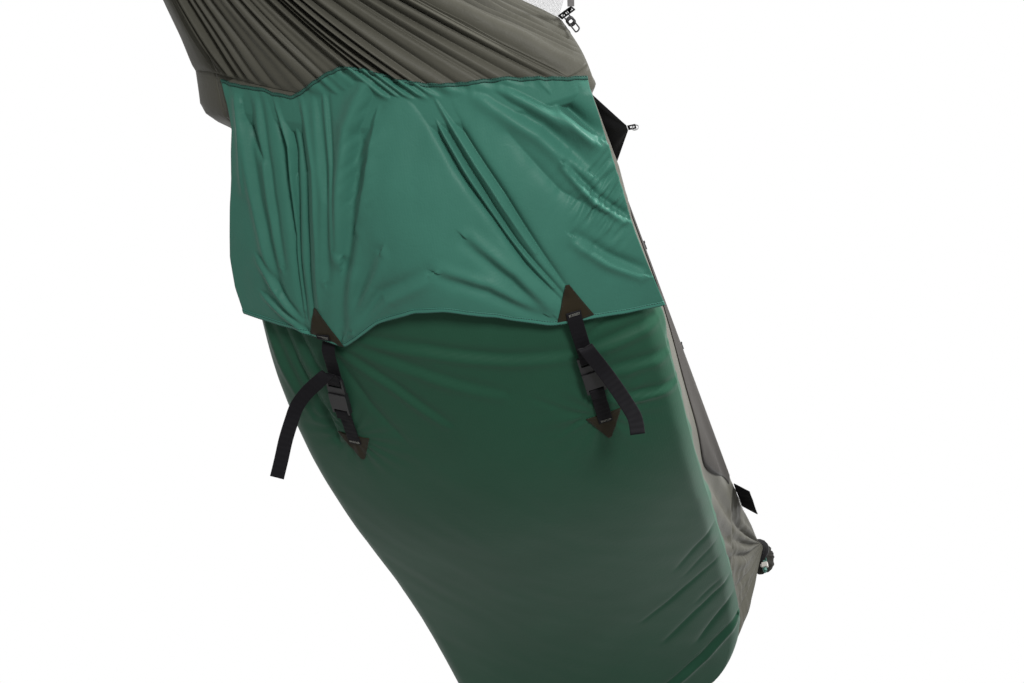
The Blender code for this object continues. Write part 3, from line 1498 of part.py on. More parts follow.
build_tab("right_tie_tab", RIGHT_TAB_FRAME, GUY_TAB, (1, 3, 5))
build_tab("left_tie_tab", LEFT_TAB_FRAME, RING_TAB, (1,))
build_tab("wing_tab", WING_TAB_FRAME, RING_TAB, (1,))
build_ring("left_tie_ring", LEFT_TAB_FRAME, RING_BAR)
build_ring("wing_ring", WING_TAB_FRAME, RING_BAR)
build_guy()
build_tensioner()
build_lead()
build_corner_patch()


# Webbing strip near the foot gather

def build_foot_tab():
    lean = math.radians(FOOT_TAB_LEAN)
    hanging = Vector((0.0, -math.sin(lean), -math.cos(lean)))
    ahead = (FOOT_END - RIGHT_CORNER).normalized()
    start = right_hem(1.0 - FOOT_TAB_SHARE) + hanging * FOOT_TAB_OUT
    frame = frame_at(start, ahead, ahead.cross(hanging))
    half = FOOT_TAB_LENGTH * HALF_SHARE
    thick = FOOT_TAB_THICK * HALF_SHARE
    return cells("foot_webbing_tab", frame, [-half, half], [0.0, FOOT_TAB_WIDTH],
                 [-thick, thick], lambda i, j, k: True, BLACK_WEBBING)


build_foot_tab()


# Storage sleeve with its drawcord

def sack_radius(radius, angle):
    """The cloth hangs lower than it stands, and is bunched in folds."""
    fullness = (radius - SACK_NEAR_MOUTH) / (SACK_RADIUS - SACK_NEAR_MOUTH)
    below = max(0.0, -math.sin(angle))
    fold = math.cos(SACK_FOLDS * angle) * SACK_FOLD_SHARE
    return radius * (1.0 + max(0.0, fullness) * (SACK_SAG_SHARE * below ** 2 + fold))


SACK_FOLDS = 7
SACK_FOLD_SHARE = 0.05
SACK_SIDES = 21


def build_sack():
    start = CAP_THICK + SACK_START
    half_places = [(0.0, SACK_NEAR_MOUTH), (SACK_NECK, SACK_NEAR_MOUTH)]
    rest = SACK_LENGTH - SACK_NECK
    half_places += [(SACK_NECK + rest * share, mix(SACK_FAR_MOUTH, SACK_RADIUS, full))
                    for share, full in SACK_SHARES]
    outer = [(start + along, radius) for along, radius in half_places]
    frame = end_frame(1.0)
    rows = []
    for inset in (0.0, SACK_WALL):
        grid = []
        for along, radius in outer:
            line = []
            for side in range(SACK_SIDES):
                angle = 2.0 * math.pi * side / SACK_SIDES
                reach = sack_radius(radius, angle) - inset
                line.append(frame @ Vector((along, reach * math.cos(angle),
                                            reach * math.sin(angle))))
            grid.append(line)
        rows += grid if inset == 0.0 else list(reversed(grid))
    points = [place for row in rows for place in row]
    faces = []
    for row in range(len(rows)):
        after = (row + 1) % len(rows)
        for side in range(SACK_SIDES):
            beside = (side + 1) % SACK_SIDES
            faces.append((row * SACK_SIDES + side, row * SACK_SIDES + beside,
                          after * SACK_SIDES + beside, after * SACK_SIDES + side))
    return add_object("storage_sleeve", points, faces, SACK_CLOTH)


SACK_NECK = 0.0062
SACK_SHARES = ((0.12, 0.75), (0.35, 1.0), (0.60, 0.95), (0.82, 0.60), (1.0, 0.0))


def build_drawcord():
    """A cord round the sleeve's neck whose ends hang as a loop through a lock and a bead."""
    radius = SACK_NEAR_MOUTH + SACK_CORD * HALF_SHARE + CORD_FIT
    x = GATHER_HALF_SPAN + CAP_THICK + SACK_START + SACK_NECK * HALF_SHARE
    lock_x = GATHER_HALF_SPAN + DRAW_LOCK_X
    ring = []
    for step in range(DRAW_STEPS + 1):
        angle = mix(DRAW_FIRST, DRAW_LAST, step / DRAW_STEPS)
        ring.append(Vector((x, radius * math.cos(angle), radius * math.sin(angle))))
    low = -FLANGE - SACK_CORD
    outside = [Vector((x, DRAW_Y - STRAND_HALF_GAP * 2.0, low)),
               Vector((lock_x, DRAW_Y - STRAND_HALF_GAP, DRAW_LOCK_Z + LOCK_LENGTH)),
               Vector((lock_x, DRAW_Y - STRAND_HALF_GAP, DRAW_LOCK_Z)),
               Vector((lock_x, DRAW_Y - STRAND_HALF_GAP, DRAW_END_Z))]
    inside = [Vector((x, DRAW_Y + STRAND_HALF_GAP, low)),
              Vector((lock_x, DRAW_Y + STRAND_HALF_GAP, DRAW_LOCK_Z + LOCK_LENGTH)),
              Vector((lock_x, DRAW_Y + STRAND_HALF_GAP, DRAW_LOCK_Z)),
              Vector((lock_x, DRAW_Y + STRAND_HALF_GAP, DRAW_END_Z))]
    bottom = Vector((lock_x, DRAW_Y, DRAW_END_Z - STRAND_HALF_GAP))
    places = ring + outside + [bottom] + list(reversed(inside))
    return tube("sleeve_drawcord", places, SACK_CORD, CORD_GREEN, closed=True)


DRAW_STEPS = 24
DRAW_FIRST = math.radians(-122.0)
DRAW_LAST = math.radians(-145.0 + 360.0)


def lock_frame():
    """X down along the strands, Y across them."""
    origin = Vector((GATHER_HALF_SPAN + DRAW_LOCK_X, DRAW_Y, DRAW_LOCK_Z))
    return frame_at(origin, -Z_AXIS, X_AXIS)


SLOT_HALF = STRAND_HALF_GAP + SACK_CORD * HALF_SHARE + CORD_FIT
SLOT_DEEP = SACK_CORD * HALF_SHARE + CORD_FIT
BUTTON_LOW = SLOT_HALF + BUTTON_WALL


def build_lock():
    half = LOCK_LENGTH * HALF_SHARE
    floor = BUTTON_LOW + BUTTON_TRAVEL + CORD_FIT
    widths = [-floor - LOCK_WALL, -floor, -SLOT_HALF, SLOT_HALF, LOCK_SIDE]
    heights = mirrored([SLOT_DEEP, WELL_HALF, WELL_HALF + LOCK_WALL])

    def filled(i, j, k):
        well = i == 1 and k in (1, 2, 3) and j > 0
        tunnel = j == 2 and k == 2
        return not well and not tunnel

    return cells("cord_lock", lock_frame(), mirrored([WELL_HALF, half]), widths, heights,
                 filled, PALE_PLASTIC)


def build_button():
    widths = [-BUTTON_LOW, -SLOT_HALF, SLOT_HALF + BUTTON_TRAVEL, LOCK_SIDE + BUTTON_STAND]
    heights = mirrored([SLOT_DEEP, BUTTON_HALF])
    return cells("cord_lock_button", lock_frame(), mirrored([BUTTON_HALF]), widths, heights,
                 lambda i, j, k: not (j == 1 and k == 1), PALE_PLASTIC)


build_sack()
build_drawcord()
build_lock()
build_button()
ring_piece("drawcord_bead", lock_frame() @ Matrix.Translation(Vector((BEAD_BELOW, 0.0, 0.0))),
           BEAD_LENGTH, SLOT_HALF, BEAD_RADIUS, CORD_GREEN)


def pivot(name, frame, pieces, carrier=None):
    """An empty on the axis that a moving piece turns about or slides along."""
    empty = bpy.data.objects.new(name, None)
    bpy.context.scene.collection.objects.link(empty)
    empty.matrix_basis = frame
    if carrier:
        empty.parent = bpy.data.objects[carrier[0]]
        empty.matrix_parent_inverse = carrier[1].inverted()
    for piece in pieces:
        child = bpy.data.objects[piece]
        child.parent = empty
        child.matrix_parent_inverse = frame.inverted()
    return name, frame


# The links turn about the line, and everything else that moves rides the hammock
SWING = pivot("line_swing_axis", Matrix.Identity(4), ("head_link", "foot_link"))
for place, end in (("head", -1), ("foot", 1)):
    pivot(place + "_collar_axis", end_frame(end), (place + "_link_collar",), SWING)
for place, up_across, low_across in (("left", STRAP_LEFT_UP, STRAP_LEFT_LOW),
                                     ("right", STRAP_RIGHT_UP, STRAP_RIGHT_LOW)):
    pivot(place + "_adjuster_axis", strap_frame(up_across, low_across),
          (place + "_buckle_male", place + "_tail_webbing"))
for place, share in (("head", SLIDER_ONE_SHARE), ("foot", SLIDER_TWO_SHARE)):
    SLIDER = pivot(place + "_slider_axis", slider_frame(share), (place + "_zip_slider",))
    pivot(place + "_pull_axis", slider_frame(share) @ Matrix.Translation(Z_AXIS * PIN_HEIGHT),
          (place + "_zip_pull",), SLIDER)
pivot("tensioner_axis", GUY_FRAME, ("guy_tensioner",))
pivot("left_ring_axis", LEFT_TAB_FRAME @ Matrix.Translation(X_AXIS * RING_BAR),
      ("left_tie_ring",))
pivot("wing_ring_axis", WING_TAB_FRAME @ Matrix.Translation(X_AXIS * RING_BAR), ("wing_ring",))
pivot("lock_button_axis", lock_frame(), ("cord_lock_button",))
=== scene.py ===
import math

import bmesh
import bpy
import numpy as np
from mathutils import Matrix, Vector, noise
from mathutils.bvhtree import BVHTree


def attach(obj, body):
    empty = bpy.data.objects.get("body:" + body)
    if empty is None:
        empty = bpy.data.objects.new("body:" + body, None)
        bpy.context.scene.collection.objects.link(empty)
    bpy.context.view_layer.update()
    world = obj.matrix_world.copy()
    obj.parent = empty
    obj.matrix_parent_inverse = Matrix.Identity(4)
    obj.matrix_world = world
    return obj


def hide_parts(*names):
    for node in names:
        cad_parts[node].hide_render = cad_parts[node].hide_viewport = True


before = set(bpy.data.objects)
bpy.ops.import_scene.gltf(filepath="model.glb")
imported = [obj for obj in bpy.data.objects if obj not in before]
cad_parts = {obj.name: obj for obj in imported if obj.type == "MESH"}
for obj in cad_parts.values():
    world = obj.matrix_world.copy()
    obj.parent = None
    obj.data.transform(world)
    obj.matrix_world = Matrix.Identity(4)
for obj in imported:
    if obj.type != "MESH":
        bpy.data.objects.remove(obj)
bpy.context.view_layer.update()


# Camera. It stands low beside the head end, a little above the floor, and looks up
# along the underside toward the foot, as someone would who crouches there.
eye = Vector((-2.1579, -1.1628, -1.9322))
heading, tilt, cant = 0.5132, 0.6348, 0.0079
ahead = Vector((math.cos(tilt) * math.cos(heading), math.cos(tilt) * math.sin(heading), math.sin(tilt)))
level = Vector((math.sin(heading), -math.cos(heading), 0.0))
upright = level.cross(ahead)
side = level * math.cos(cant) + upright * math.sin(cant)
top = upright * math.cos(cant) - level * math.sin(cant)
film_wide, focal_pixels, picture_pixels = 36.0, 1412.58, 1024.0
lens = bpy.data.cameras.new("photo_lens")
lens.sensor_width = film_wide
lens.lens = focal_pixels * film_wide / picture_pixels
lens.clip_start = 0.05
viewer = bpy.data.objects.new("photo_camera", lens)
viewer.matrix_world = Matrix(((side.x, top.x, -ahead.x, eye.x), (side.y, top.y, -ahead.y, eye.y),
                              (side.z, top.z, -ahead.z, eye.z), (0.0, 0.0, 0.0, 1.0)))
bpy.context.scene.collection.objects.link(viewer)
bpy.context.scene.camera = viewer
bpy.context.scene.view_settings.view_transform = "Standard"


# Studio. A pale floor lies well under the hammock, the sky is a plain white, and soft
# lamps stand high on the zip side and low before the head end.
def put(socket, value):
    """Feed a socket from another node's output, or give it a plain value."""
    if isinstance(value, bpy.types.NodeSocket):
        socket.id_data.links.new(value, socket)
    else:
        socket.default_value = value


def sets(node, *feeds, **values):
    """A node's own settings, named in lower case, and its sockets, in order or by name."""
    for name, value in values.items():
        if name[0].islower():
            setattr(node, name, value)
    for index, value in enumerate(feeds):
        put(node.inputs[index], value)
    for name, value in values.items():
        if not name[0].islower():
            put(node.inputs[name.replace("_", " ")], value)
    return node


def add(tree, kind, *feeds, **values):
    return sets(tree.nodes.new("ShaderNode" + kind), *feeds, **values)


def material(name, **values):
    """A new material, its shader with plain values, and its node tree."""
    made = bpy.data.materials.new(name)
    made.use_nodes = True
    return made, sets(made.node_tree.nodes["Principled BSDF"], **values), made.node_tree


def mesh_object(name, points, faces, finish, flat=None, turned=False, smooth=True):
    """A mesh in the scene. Its map is each point's place on the flat cloth, in metres."""
    mesh = bpy.data.meshes.new(name)
    mesh.from_pydata(points, [], faces)
    if flat is not None:
        layout = mesh.uv_layers.new(name="flat_cloth")
        corners = [index for face in faces for index in face]
        layout.data.foreach_set("uv", np.asarray(flat, float)[corners].astype(np.float32).ravel())
    if turned:
        shape = bmesh.new()
        shape.from_mesh(mesh)
        bmesh.ops.recalc_face_normals(shape, faces=shape.faces)
        shape.to_mesh(mesh)
        shape.free()
    if smooth:
        mesh.shade_smooth()
    mesh.materials.append(finish)
    made = bpy.data.objects.new(name, mesh)
    bpy.context.scene.collection.objects.link(made)
    return made


floor_reach, floor_height = 14.0, -2.45
floor_paint = material("floor_paint", Base_Color=(0.66, 0.66, 0.65, 1.0), Roughness=0.9)[0]
floor = mesh_object("studio_floor", [(a * floor_reach, b * floor_reach, floor_height)
                                     for a, b in ((-1, -1), (1, -1), (1, 1), (-1, 1))],
                    [(0, 1, 2, 3)], floor_paint, smooth=False)

sky = bpy.data.worlds.new("studio_sky")
bpy.context.scene.world = sky
sky.use_nodes = True
air = sky.node_tree
daylight = sets(air.nodes["Background"], Color=(1.0, 0.99, 0.97, 1.0), Strength=0.56)
white = add(air, "Background", Color=(1.0, 1.0, 1.0, 1.0))
ray = add(air, "LightPath").outputs
seen = add(air, "Math", ray["Is Camera Ray"], ray["Is Transmission Ray"], operation="MAXIMUM")
shown = add(air, "Math", seen.outputs[0], ray["Is Glossy Ray"], operation="MAXIMUM")
choice = add(air, "MixShader", shown.outputs[0], daylight.outputs[0], white.outputs[0])
sets(air.nodes["World Output"], Surface=choice.outputs[0])

for lamp_name, place, target, size, power, cone in (
        ("zip_side_lamp", (-0.4, -4.5, 2.1), (0.20, -0.3, -0.35), 0.7, 32.0, 40.0),
        ("head_lamp", (-3.2, -3.0, -1.7), (-0.3, -0.05, -0.4), 0.9, 12.5, 50.0)):
    bulb = bpy.data.lights.new(lamp_name, "AREA")
    bulb.size = size
    bulb.spread = math.radians(cone)
    bulb.energy = power
    lamp = bpy.data.objects.new(lamp_name, bulb)
    lamp.location = place
    lamp.rotation_euler = (Vector(target) - Vector(place)).to_track_quat("-Z", "Y").to_euler()
    bpy.context.scene.collection.objects.link(lamp)


# Under shell. A sleeve of thin green ripstop nylon, sewn round its edge under the bed,
# which the pad inside draws smooth; it creases toward the four strap patches.
bed_reach, bed_depth, head_depth, foot_depth = 0.975, 0.619, 0.285, 0.564
wave_height, dish_rise, dish_half = 0.110, 0.076, 0.330
bed_turn = math.radians(15.96)
sleeve_half, foot_reach, head_reach = 0.365, 1.125, 0.850


def bed_place(along, across):
    """The underside's own curve: sag, S wave, raised edges and a growing lean."""
    part = along / bed_reach
    rise = (bed_depth - np.where(part < 0.0, head_depth, foot_depth)) * part * part
    wave = wave_height * part * (1.0 - part * part)
    lean = np.radians(-0.47 - 9.24 * part - 3.63 * part * part)
    drop = -bed_depth + rise + wave + dish_rise * (across / dish_half) ** 2 + across * np.tan(lean)
    return np.stack((-0.014 + along * math.cos(bed_turn) - across * math.sin(bed_turn),
                     0.020 + along * math.sin(bed_turn) + across * math.cos(bed_turn), drop), -1)


def bed_normal(along, across):
    step = 0.001
    over = np.cross(bed_place(along + step, across) - bed_place(along - step, across),
                    bed_place(along, across + step) - bed_place(along, across - step))
    return over / np.linalg.norm(over, axis=-1, keepdims=True)


def bed_point(along, across, lift=0.0):
    """A place on the underside, lifted into the hammock by a lift in metres."""
    along, across = np.broadcast_arrays(np.asarray(along, float), np.asarray(across, float))
    lift = np.broadcast_to(np.asarray(lift, float), along.shape)
    return bed_place(along, across) + bed_normal(along, across) * lift[..., None]


def half_width_at(along, inset=0.0):
    """Half width of the sleeve's rounded outline."""
    power = np.where(along > 0.0, 9.0, 4.0)
    reach_of = np.where(along > 0.0, foot_reach, head_reach) - inset
    left = np.clip(1.0 - (np.abs(along) / reach_of) ** power, 0.0, 1.0)
    return (sleeve_half - inset) * left ** (1.0 / power)


def ease(share):
    held = np.clip(share, 0.0, 1.0)
    return held * held * (3.0 - 2.0 * held)


def fold(along, across, route, width, depth, kind="groove"):
    """How far a fold stands out: a sharp groove, or a ridge beside a hollow, faded at its ends."""
    route = np.asarray(route, float)
    runs = np.linalg.norm(np.diff(route, axis=0), axis=1)
    total, passed = runs.sum(), 0.0
    best = np.full(along.shape, 9.0)
    signed, progress = np.zeros(along.shape), np.zeros(along.shape)
    for first, last, run in zip(route, route[1:], runs):
        way = (last - first) / run
        along_run = np.clip((along - first[0]) * way[0] + (across - first[1]) * way[1], 0.0, run)
        off_m = along - first[0] - way[0] * along_run
        off_n = across - first[1] - way[1] * along_run
        away = np.hypot(off_m, off_n)
        closer = away < best
        best = np.where(closer, away, best)
        signed = np.where(closer, np.sign(way[0] * off_n - way[1] * off_m) * away, signed)
        progress = np.where(closer, (passed + along_run) / total, progress)
        passed += run
    fade = np.sqrt(np.clip(np.sin(math.pi * (0.06 + 0.88 * progress)), 0.0, 1.0))
    if kind == "pair":
        return depth * fade * (signed / width) * np.exp(-(signed / width) ** 2) * 2.0
    raised = depth * fade * np.exp(-(best / width) ** 1.25)
    return raised if kind == "ridge" else -raised


def ripple(along, across, size, seed, stretch=1.0, turn=0.0):
    """Soft uneven cloth: smooth noise from -1 to 1, longer one way than the other."""
    m = (along * math.cos(turn) + across * math.sin(turn)) / (size * stretch)
    n = (across * math.cos(turn) - along * math.sin(turn)) / size
    flat = [noise.noise(Vector((a, b, seed))) for a, b in zip(m.ravel(), n.ravel())]
    return np.array(flat).reshape(along.shape)


def grid_normals(grid):
    over = np.cross(np.gradient(grid, axis=0), np.gradient(grid, axis=1))
    return over / np.maximum(np.linalg.norm(over, axis=-1, keepdims=True), 1e-12)


def cloth(name, grid, flat, finish, thick=0.0006):
    """A smooth sheet over a grid of places, with its flat layout in metres as its map."""
    rows, columns = grid.shape[:2]
    index = np.arange(rows * columns).reshape(rows, columns)
    faces = np.stack((index[:-1, :-1], index[:-1, 1:], index[1:, 1:], index[1:, :-1]), -1).reshape(-1, 4)
    made = mesh_object(name, grid.reshape(-1, 3).tolist(), faces.tolist(), finish, flat.reshape(-1, 2))
    if thick:
        skin = made.modifiers.new("cloth_thickness", "SOLIDIFY")
        skin.thickness = thick
        skin.offset = 0.0
    return made


def tinted(tree, colour, spread, share):
    """A colour that wanders to either side of its middle with a share from 0 to 1."""
    return add(tree, "Mix", data_type="RGBA", Factor=share,
               A=tuple(c * (1.0 - spread) for c in colour) + (1.0,),
               B=tuple(c * (1.0 + spread) for c in colour) + (1.0,)).outputs["Result"]


def woven(name, colour, rough, thread=0.0007, crinkle=0.35, sheen=0.05, fade=0.16, seeds=0.0):
    """Thin woven cloth: crossed threads, faint uneven dye, and small crinkles."""
    made, shader, tree = material(name, Roughness=rough, Sheen_Weight=sheen, Sheen_Roughness=0.45,
                                  Specular_IOR_Level=0.11)
    place = add(tree, "TexCoord").outputs
    shift = add(tree, "Mapping", Vector=place["Object"], Location=(seeds, seeds * 0.7, 0.0)).outputs[0]
    dye = add(tree, "TexNoise", Vector=shift, Scale=5.0, Detail=6.0, Roughness=0.6)
    threads = [add(tree, "TexWave", bands_direction=way, Vector=place["UV"], Scale=1.0 / (thread * 20.0),
                   Distortion=0.4, Detail=1.0).outputs["Fac"] for way in ("X", "Y")]
    weave = add(tree, "Math", *threads, operation="MULTIPLY")
    crush = add(tree, "TexNoise", Vector=shift, Scale=42.0, Detail=5.0, Roughness=0.62, Distortion=1.4)
    low = add(tree, "Bump", Height=crush.outputs["Fac"], Strength=crinkle, Distance=0.0022)
    fine = add(tree, "Bump", Height=weave.outputs[0], Normal=low.outputs[0], Strength=0.25, Distance=0.0002)
    sets(shader, Base_Color=tinted(tree, colour, fade, dye.outputs["Fac"]), Normal=fine.outputs[0])
    return made


green_ripstop = woven("green_ripstop", (0.0142, 0.0600, 0.0345), 0.55, crinkle=0.16)
shell_folds = (
    ("pair", ((-0.585, 0.166), (-0.564, 0.035), (-0.528, -0.099), (-0.507, -0.207)), 0.011, 0.0052),
    ("groove", ((-0.535, 0.200), (-0.451, 0.171), (-0.364, 0.128)), 0.008, 0.0042),
    ("pair", ((-0.551, 0.188), (-0.493, 0.114), (-0.413, 0.041)), 0.010, 0.0040),
    ("pair", ((-0.568, 0.172), (-0.523, 0.057), (-0.463, -0.068)), 0.012, 0.0036),
    ("groove", ((-0.640, 0.300), (-0.590, 0.294), (-0.515, 0.289), (-0.398, 0.270), (-0.334, 0.266)),
     0.008, 0.0085),
    ("groove", ((-0.640, 0.275), (-0.578, 0.267), (-0.518, 0.255), (-0.487, 0.240)), 0.007, 0.0075),
    ("pair", ((-0.600, 0.325), (-0.500, 0.318), (-0.400, 0.300)), 0.011, 0.0045),
    ("groove", ((-0.445, 0.266), (-0.334, 0.266)), 0.006, 0.0040),
    ("groove", ((-0.530, -0.235), (-0.555, -0.285), (-0.585, -0.350)), 0.010, 0.0100),
    ("pair", ((-0.504, -0.235), (-0.507, -0.302), (-0.508, -0.349)), 0.012, 0.0065),
    ("pair", ((-0.450, -0.250), (-0.440, -0.310), (-0.430, -0.352)), 0.012, 0.0050),
    ("pair", ((-0.390, -0.246), (-0.372, -0.300), (-0.355, -0.354)), 0.010, 0.0060),
    ("groove", ((-0.374, -0.197), (-0.405, -0.160), (-0.438, -0.123)), 0.006, 0.0034),
    ("groove", ((-0.374, -0.210), (-0.343, -0.143)), 0.006, 0.0034),
    ("groove", ((-0.352, -0.215), (-0.310, -0.160)), 0.007, 0.0026),
    ("groove", ((0.386, -0.260), (0.330, -0.305), (0.279, -0.353)), 0.009, 0.0042),
    ("groove", ((0.450, -0.270), (0.400, -0.320), (0.375, -0.345)), 0.007, 0.0024),
    ("groove", ((0.600, -0.150), (0.545, -0.235), (0.473, -0.338)), 0.008, 0.0046),
    ("groove", ((0.640, -0.275), (0.600, -0.330)), 0.009, 0.0030),
    ("groove", ((0.760, -0.180), (0.700, -0.260), (0.640, -0.350)), 0.010, 0.0060),
    ("groove", ((0.860, -0.250), (0.760, -0.345)), 0.011, 0.0070),
    ("pair", ((1.020, -0.120), (0.960, -0.250), (0.900, -0.345)), 0.016, 0.0080),
)


def shell_swell(along, across):
    """Outward swell of the shell: soft noise, the folds and the patches' pull."""
    out = 0.0030 * ripple(along, across, 0.16, 3.1, 2.2, 0.25)
    out += 0.0010 * ripple(along, across, 0.045, 8.7, 2.8, -0.5)
    for kind, route, width, depth in shell_folds:
        out += fold(along, across, route, width, depth, kind)
    for patch_m, patch_n in ((-0.365, 0.228), (-0.363, -0.228)):
        away = np.hypot(along - patch_m, across - patch_n)
        spoke = np.sin(np.arctan2(across - patch_n, along - patch_m) * 15.0 + 7.0 * away)
        out += 0.0016 * spoke * ease(away / 0.03) * np.exp(-(away / 0.085) ** 2)
    return out


gather_x, bundle_x = 1.350, 1.340
tie_corner = {1: np.array((0.960, 0.455, -0.155)), -1: np.array((-0.790, -0.475, -0.155))}
head_seam, foot_seam, seam_span = -0.925, 1.180, 2.105
hem_entry = 0.21


def hem_point(which, share):
    """A place on a hem's straight run from its gather to its tie-out corner."""
    start = np.array((-which * gather_x, 0.0, 0.0))
    return start + (tie_corner[which] - start) * np.asarray(share, float)[..., None]


def hem_across(which, middle):
    """The hem's place straight across from a station of the body."""
    passed = (middle - head_seam) / seam_span
    return hem_point(which, hem_entry + (1.0 - hem_entry) * (passed if which > 0 else 1.0 - passed))


def shell_grid(rows=330, columns=250, walls=16, end_rows=8):
    """The tray of the shell: end wall, underside with its side walls, end wall."""
    stations = np.linspace(-0.838, 1.113, rows)
    spread = np.linspace(-1.0, 1.0, columns)
    spread = np.sign(spread) * (1.0 - (1.0 - np.abs(spread)) ** 1.25)
    shares = np.concatenate((np.full(walls, -1.0), spread, np.full(walls, 1.0)))
    up = np.concatenate((np.linspace(1.0, 0.06, walls), np.zeros(columns), np.linspace(0.06, 1.0, walls)))
    half = half_width_at(stations)
    wall_high = 0.0595
    high = wall_high + 0.0380 * ease((half / sleeve_half - 0.972) / 0.024)
    corner = 0.014 * np.clip((np.abs(shares) - 0.90) / 0.10, 0.0, 1.0) ** 2
    along = np.repeat(stations[:, None], len(shares), 1)
    across = half[:, None] * shares[None, :]
    lift = corner[None, :] + (high[:, None] - corner[None, :]) * up[None, :]
    swell = shell_swell(along, across) * (1.0 - 0.5 * up[None, :])
    bulge = np.sin(math.pi * np.clip(up, 0.0, 1.0))[None, :] * 0.012 * np.sign(shares)[None, :]
    edge = ripple(along, lift * 3.0, 0.05, 5.5, 1.4) * 0.006 * np.clip(up * 4.0, 0.0, 1.0)[None, :]
    across = across + bulge + edge * np.sign(shares)[None, :]
    body = bed_point(along, across, lift - swell)
    full_width = ease((stations + 0.70) / 0.30) * ease((1.08 - stations) / 0.14)
    rise = np.clip((up - 0.70) / 0.30, 0.0, 1.0)
    for which in (-1, 1):
        rim = bed_point(stations, np.full(rows, which * 0.3665), 0.094)
        upper = rim[:, None] + (hem_across(which, stations) - rim)[:, None] * (0.21 * rise)[None, :, None]
        upper[..., 1] += which * (0.0055 + edge * 0.5)
        share = (ease(rise * 4.0) * (shares * which > 0.99))[None, :] * full_width[:, None]
        body = body * (1.0 - share[..., None]) + upper * share[..., None]
    ends = []
    for station, order in ((stations[0], 1), (stations[-1], -1)):
        drop = np.linspace(1.0, 0.1, end_rows)[::order, None]
        end_across = np.repeat(half_width_at(station) * shares[None, :], end_rows, 0)
        end_low = np.where(up > 0.0, corner + (wall_high - corner) * up, corner)[None, :]
        ends.append(bed_point(np.full(end_across.shape, station), end_across,
                              end_low + (wall_high - end_low) * drop))
    whole = np.concatenate((ends[0], body, ends[1]), 0)
    down = np.concatenate((np.linspace(-0.06, -0.005, end_rows) + stations[0], stations,
                           np.linspace(0.005, 0.06, end_rows) + stations[-1]))
    wide = np.concatenate((across[:1].repeat(end_rows, 0), across, across[-1:].repeat(end_rows, 0)), 0)
    flat = np.stack((np.broadcast_to(down[:, None], wide.shape), wide + 0.1 * (up * np.sign(shares))), -1)
    return whole, flat


shell_places, shell_map = shell_grid()
shell = cloth("green_shell", shell_places, shell_map, green_ripstop)
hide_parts("under_shell")
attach(shell, "hammock")


# Insulation pad. A flat foam pad with rounded edges that fills the sleeve and keeps the
# bed stiff; its cloth skin is quilted in long channels.
pad_skin = woven("pad_skin", (0.20, 0.24, 0.26), 0.70, thread=0.0010, crinkle=0.20)
pad_rows, pad_columns = 150, 91
pad_along = np.linspace(-0.830, 1.106, pad_rows)
pad_share = np.linspace(-1.0, 1.0, pad_columns)
pad_m = np.repeat(pad_along[:, None], pad_columns, 1)
pad_n = half_width_at(pad_along, 0.006)[:, None] * pad_share[None, :]
pad_edge = np.clip((np.abs(pad_share) - 0.86) / 0.14, 0.0, 1.0)[None, :] ** 2
channel = 0.0022 * np.abs(np.sin(pad_n / sleeve_half * math.pi * 3.0)) ** 0.5
pad_low = bed_point(pad_m, pad_n, 0.0150 + 0.022 * pad_edge)
pad_high = bed_point(pad_m, pad_n, 0.0556 - 0.010 * pad_edge + channel)
pad_grid = np.concatenate((pad_low, pad_high[:, ::-1], pad_low[:, :1]), 1)
pad_flat = np.stack((np.repeat(pad_along[:, None], pad_grid.shape[1], 1),
                     np.repeat(np.linspace(0.0, 1.5, pad_grid.shape[1])[None, :], pad_rows, 0)), -1)
pad = cloth("quilted_pad", pad_grid, pad_flat, pad_skin, thick=0.0)
pad_shape = bmesh.new()
pad_shape.from_mesh(pad.data)
bmesh.ops.remove_doubles(pad_shape, verts=pad_shape.verts, dist=0.00005)
bmesh.ops.holes_fill(pad_shape, edges=pad_shape.edges, sides=0)
bmesh.ops.recalc_face_normals(pad_shape, faces=pad_shape.faces)
pad_shape.to_mesh(pad.data)
pad_shape.free()
pad.data.shade_smooth()
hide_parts("insulation_pad")
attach(pad, "hammock")


# Bed sheet. One wide panel of taupe nylon: the bed over the pad and a wall up to each
# hem. A dark band lies along each hem, which is drawn straight to its tie-out corner.
def tapered(across, middle):
    """A sideways place, drawn in where the bed narrows toward its head seam."""
    narrow = np.where(across > 0.0, 0.905, 0.855)
    share = np.clip((-0.640 - middle) / np.where(across > 0.0, 0.150, 0.285), 0.0, 1.0)
    return across * (1.0 + (narrow - 1.0) * share)


def body_row(middle, spread):
    """One cross row of the body, from the right hem over the bed to the left hem.
    The spread runs from -2 at the right hem, by -1 and 1 at the rims, to 2."""
    skew = 0.030 * (1.0 - min(1.0, max(0.0, (middle - head_seam) / 0.080)))
    lifted = float(ease((middle + 0.890) / 0.045))
    across = tapered(np.clip(spread, -1.0, 1.0) * 0.350, middle)
    row = bed_point(middle - skew * across / sleeve_half, across, 0.0004 + 0.0636 * lifted)
    for which in (-1, 1):
        rim_across = tapered(np.array(which * 0.3626), middle)
        rim = bed_point(middle - skew * rim_across / sleeve_half, rim_across, 0.0004 + 0.0986 * lifted)
        up = np.clip(spread * which - 1.0, 0.0, 1.0)[:, None]
        wall = rim + (hem_across(which, middle) - rim) * up
        fuller = 0.038 * math.exp(-((middle + 0.850) / 0.120) ** 2) if which > 0 else 0.0
        wall[:, 1] += which * (0.006 + fuller) * np.sin(math.pi * up[:, 0] ** 0.7)
        near = row[np.argmax(spread * which >= 0.93) if which > 0 else
                   len(spread) - 1 - np.argmax(spread[::-1] <= -0.93)]
        blend = ease(up[:, 0] / 0.12)[:, None]
        wall = near * (1.0 - blend) + wall * blend
        row = np.where((spread * which > 0.93)[:, None], wall, row)
    return row


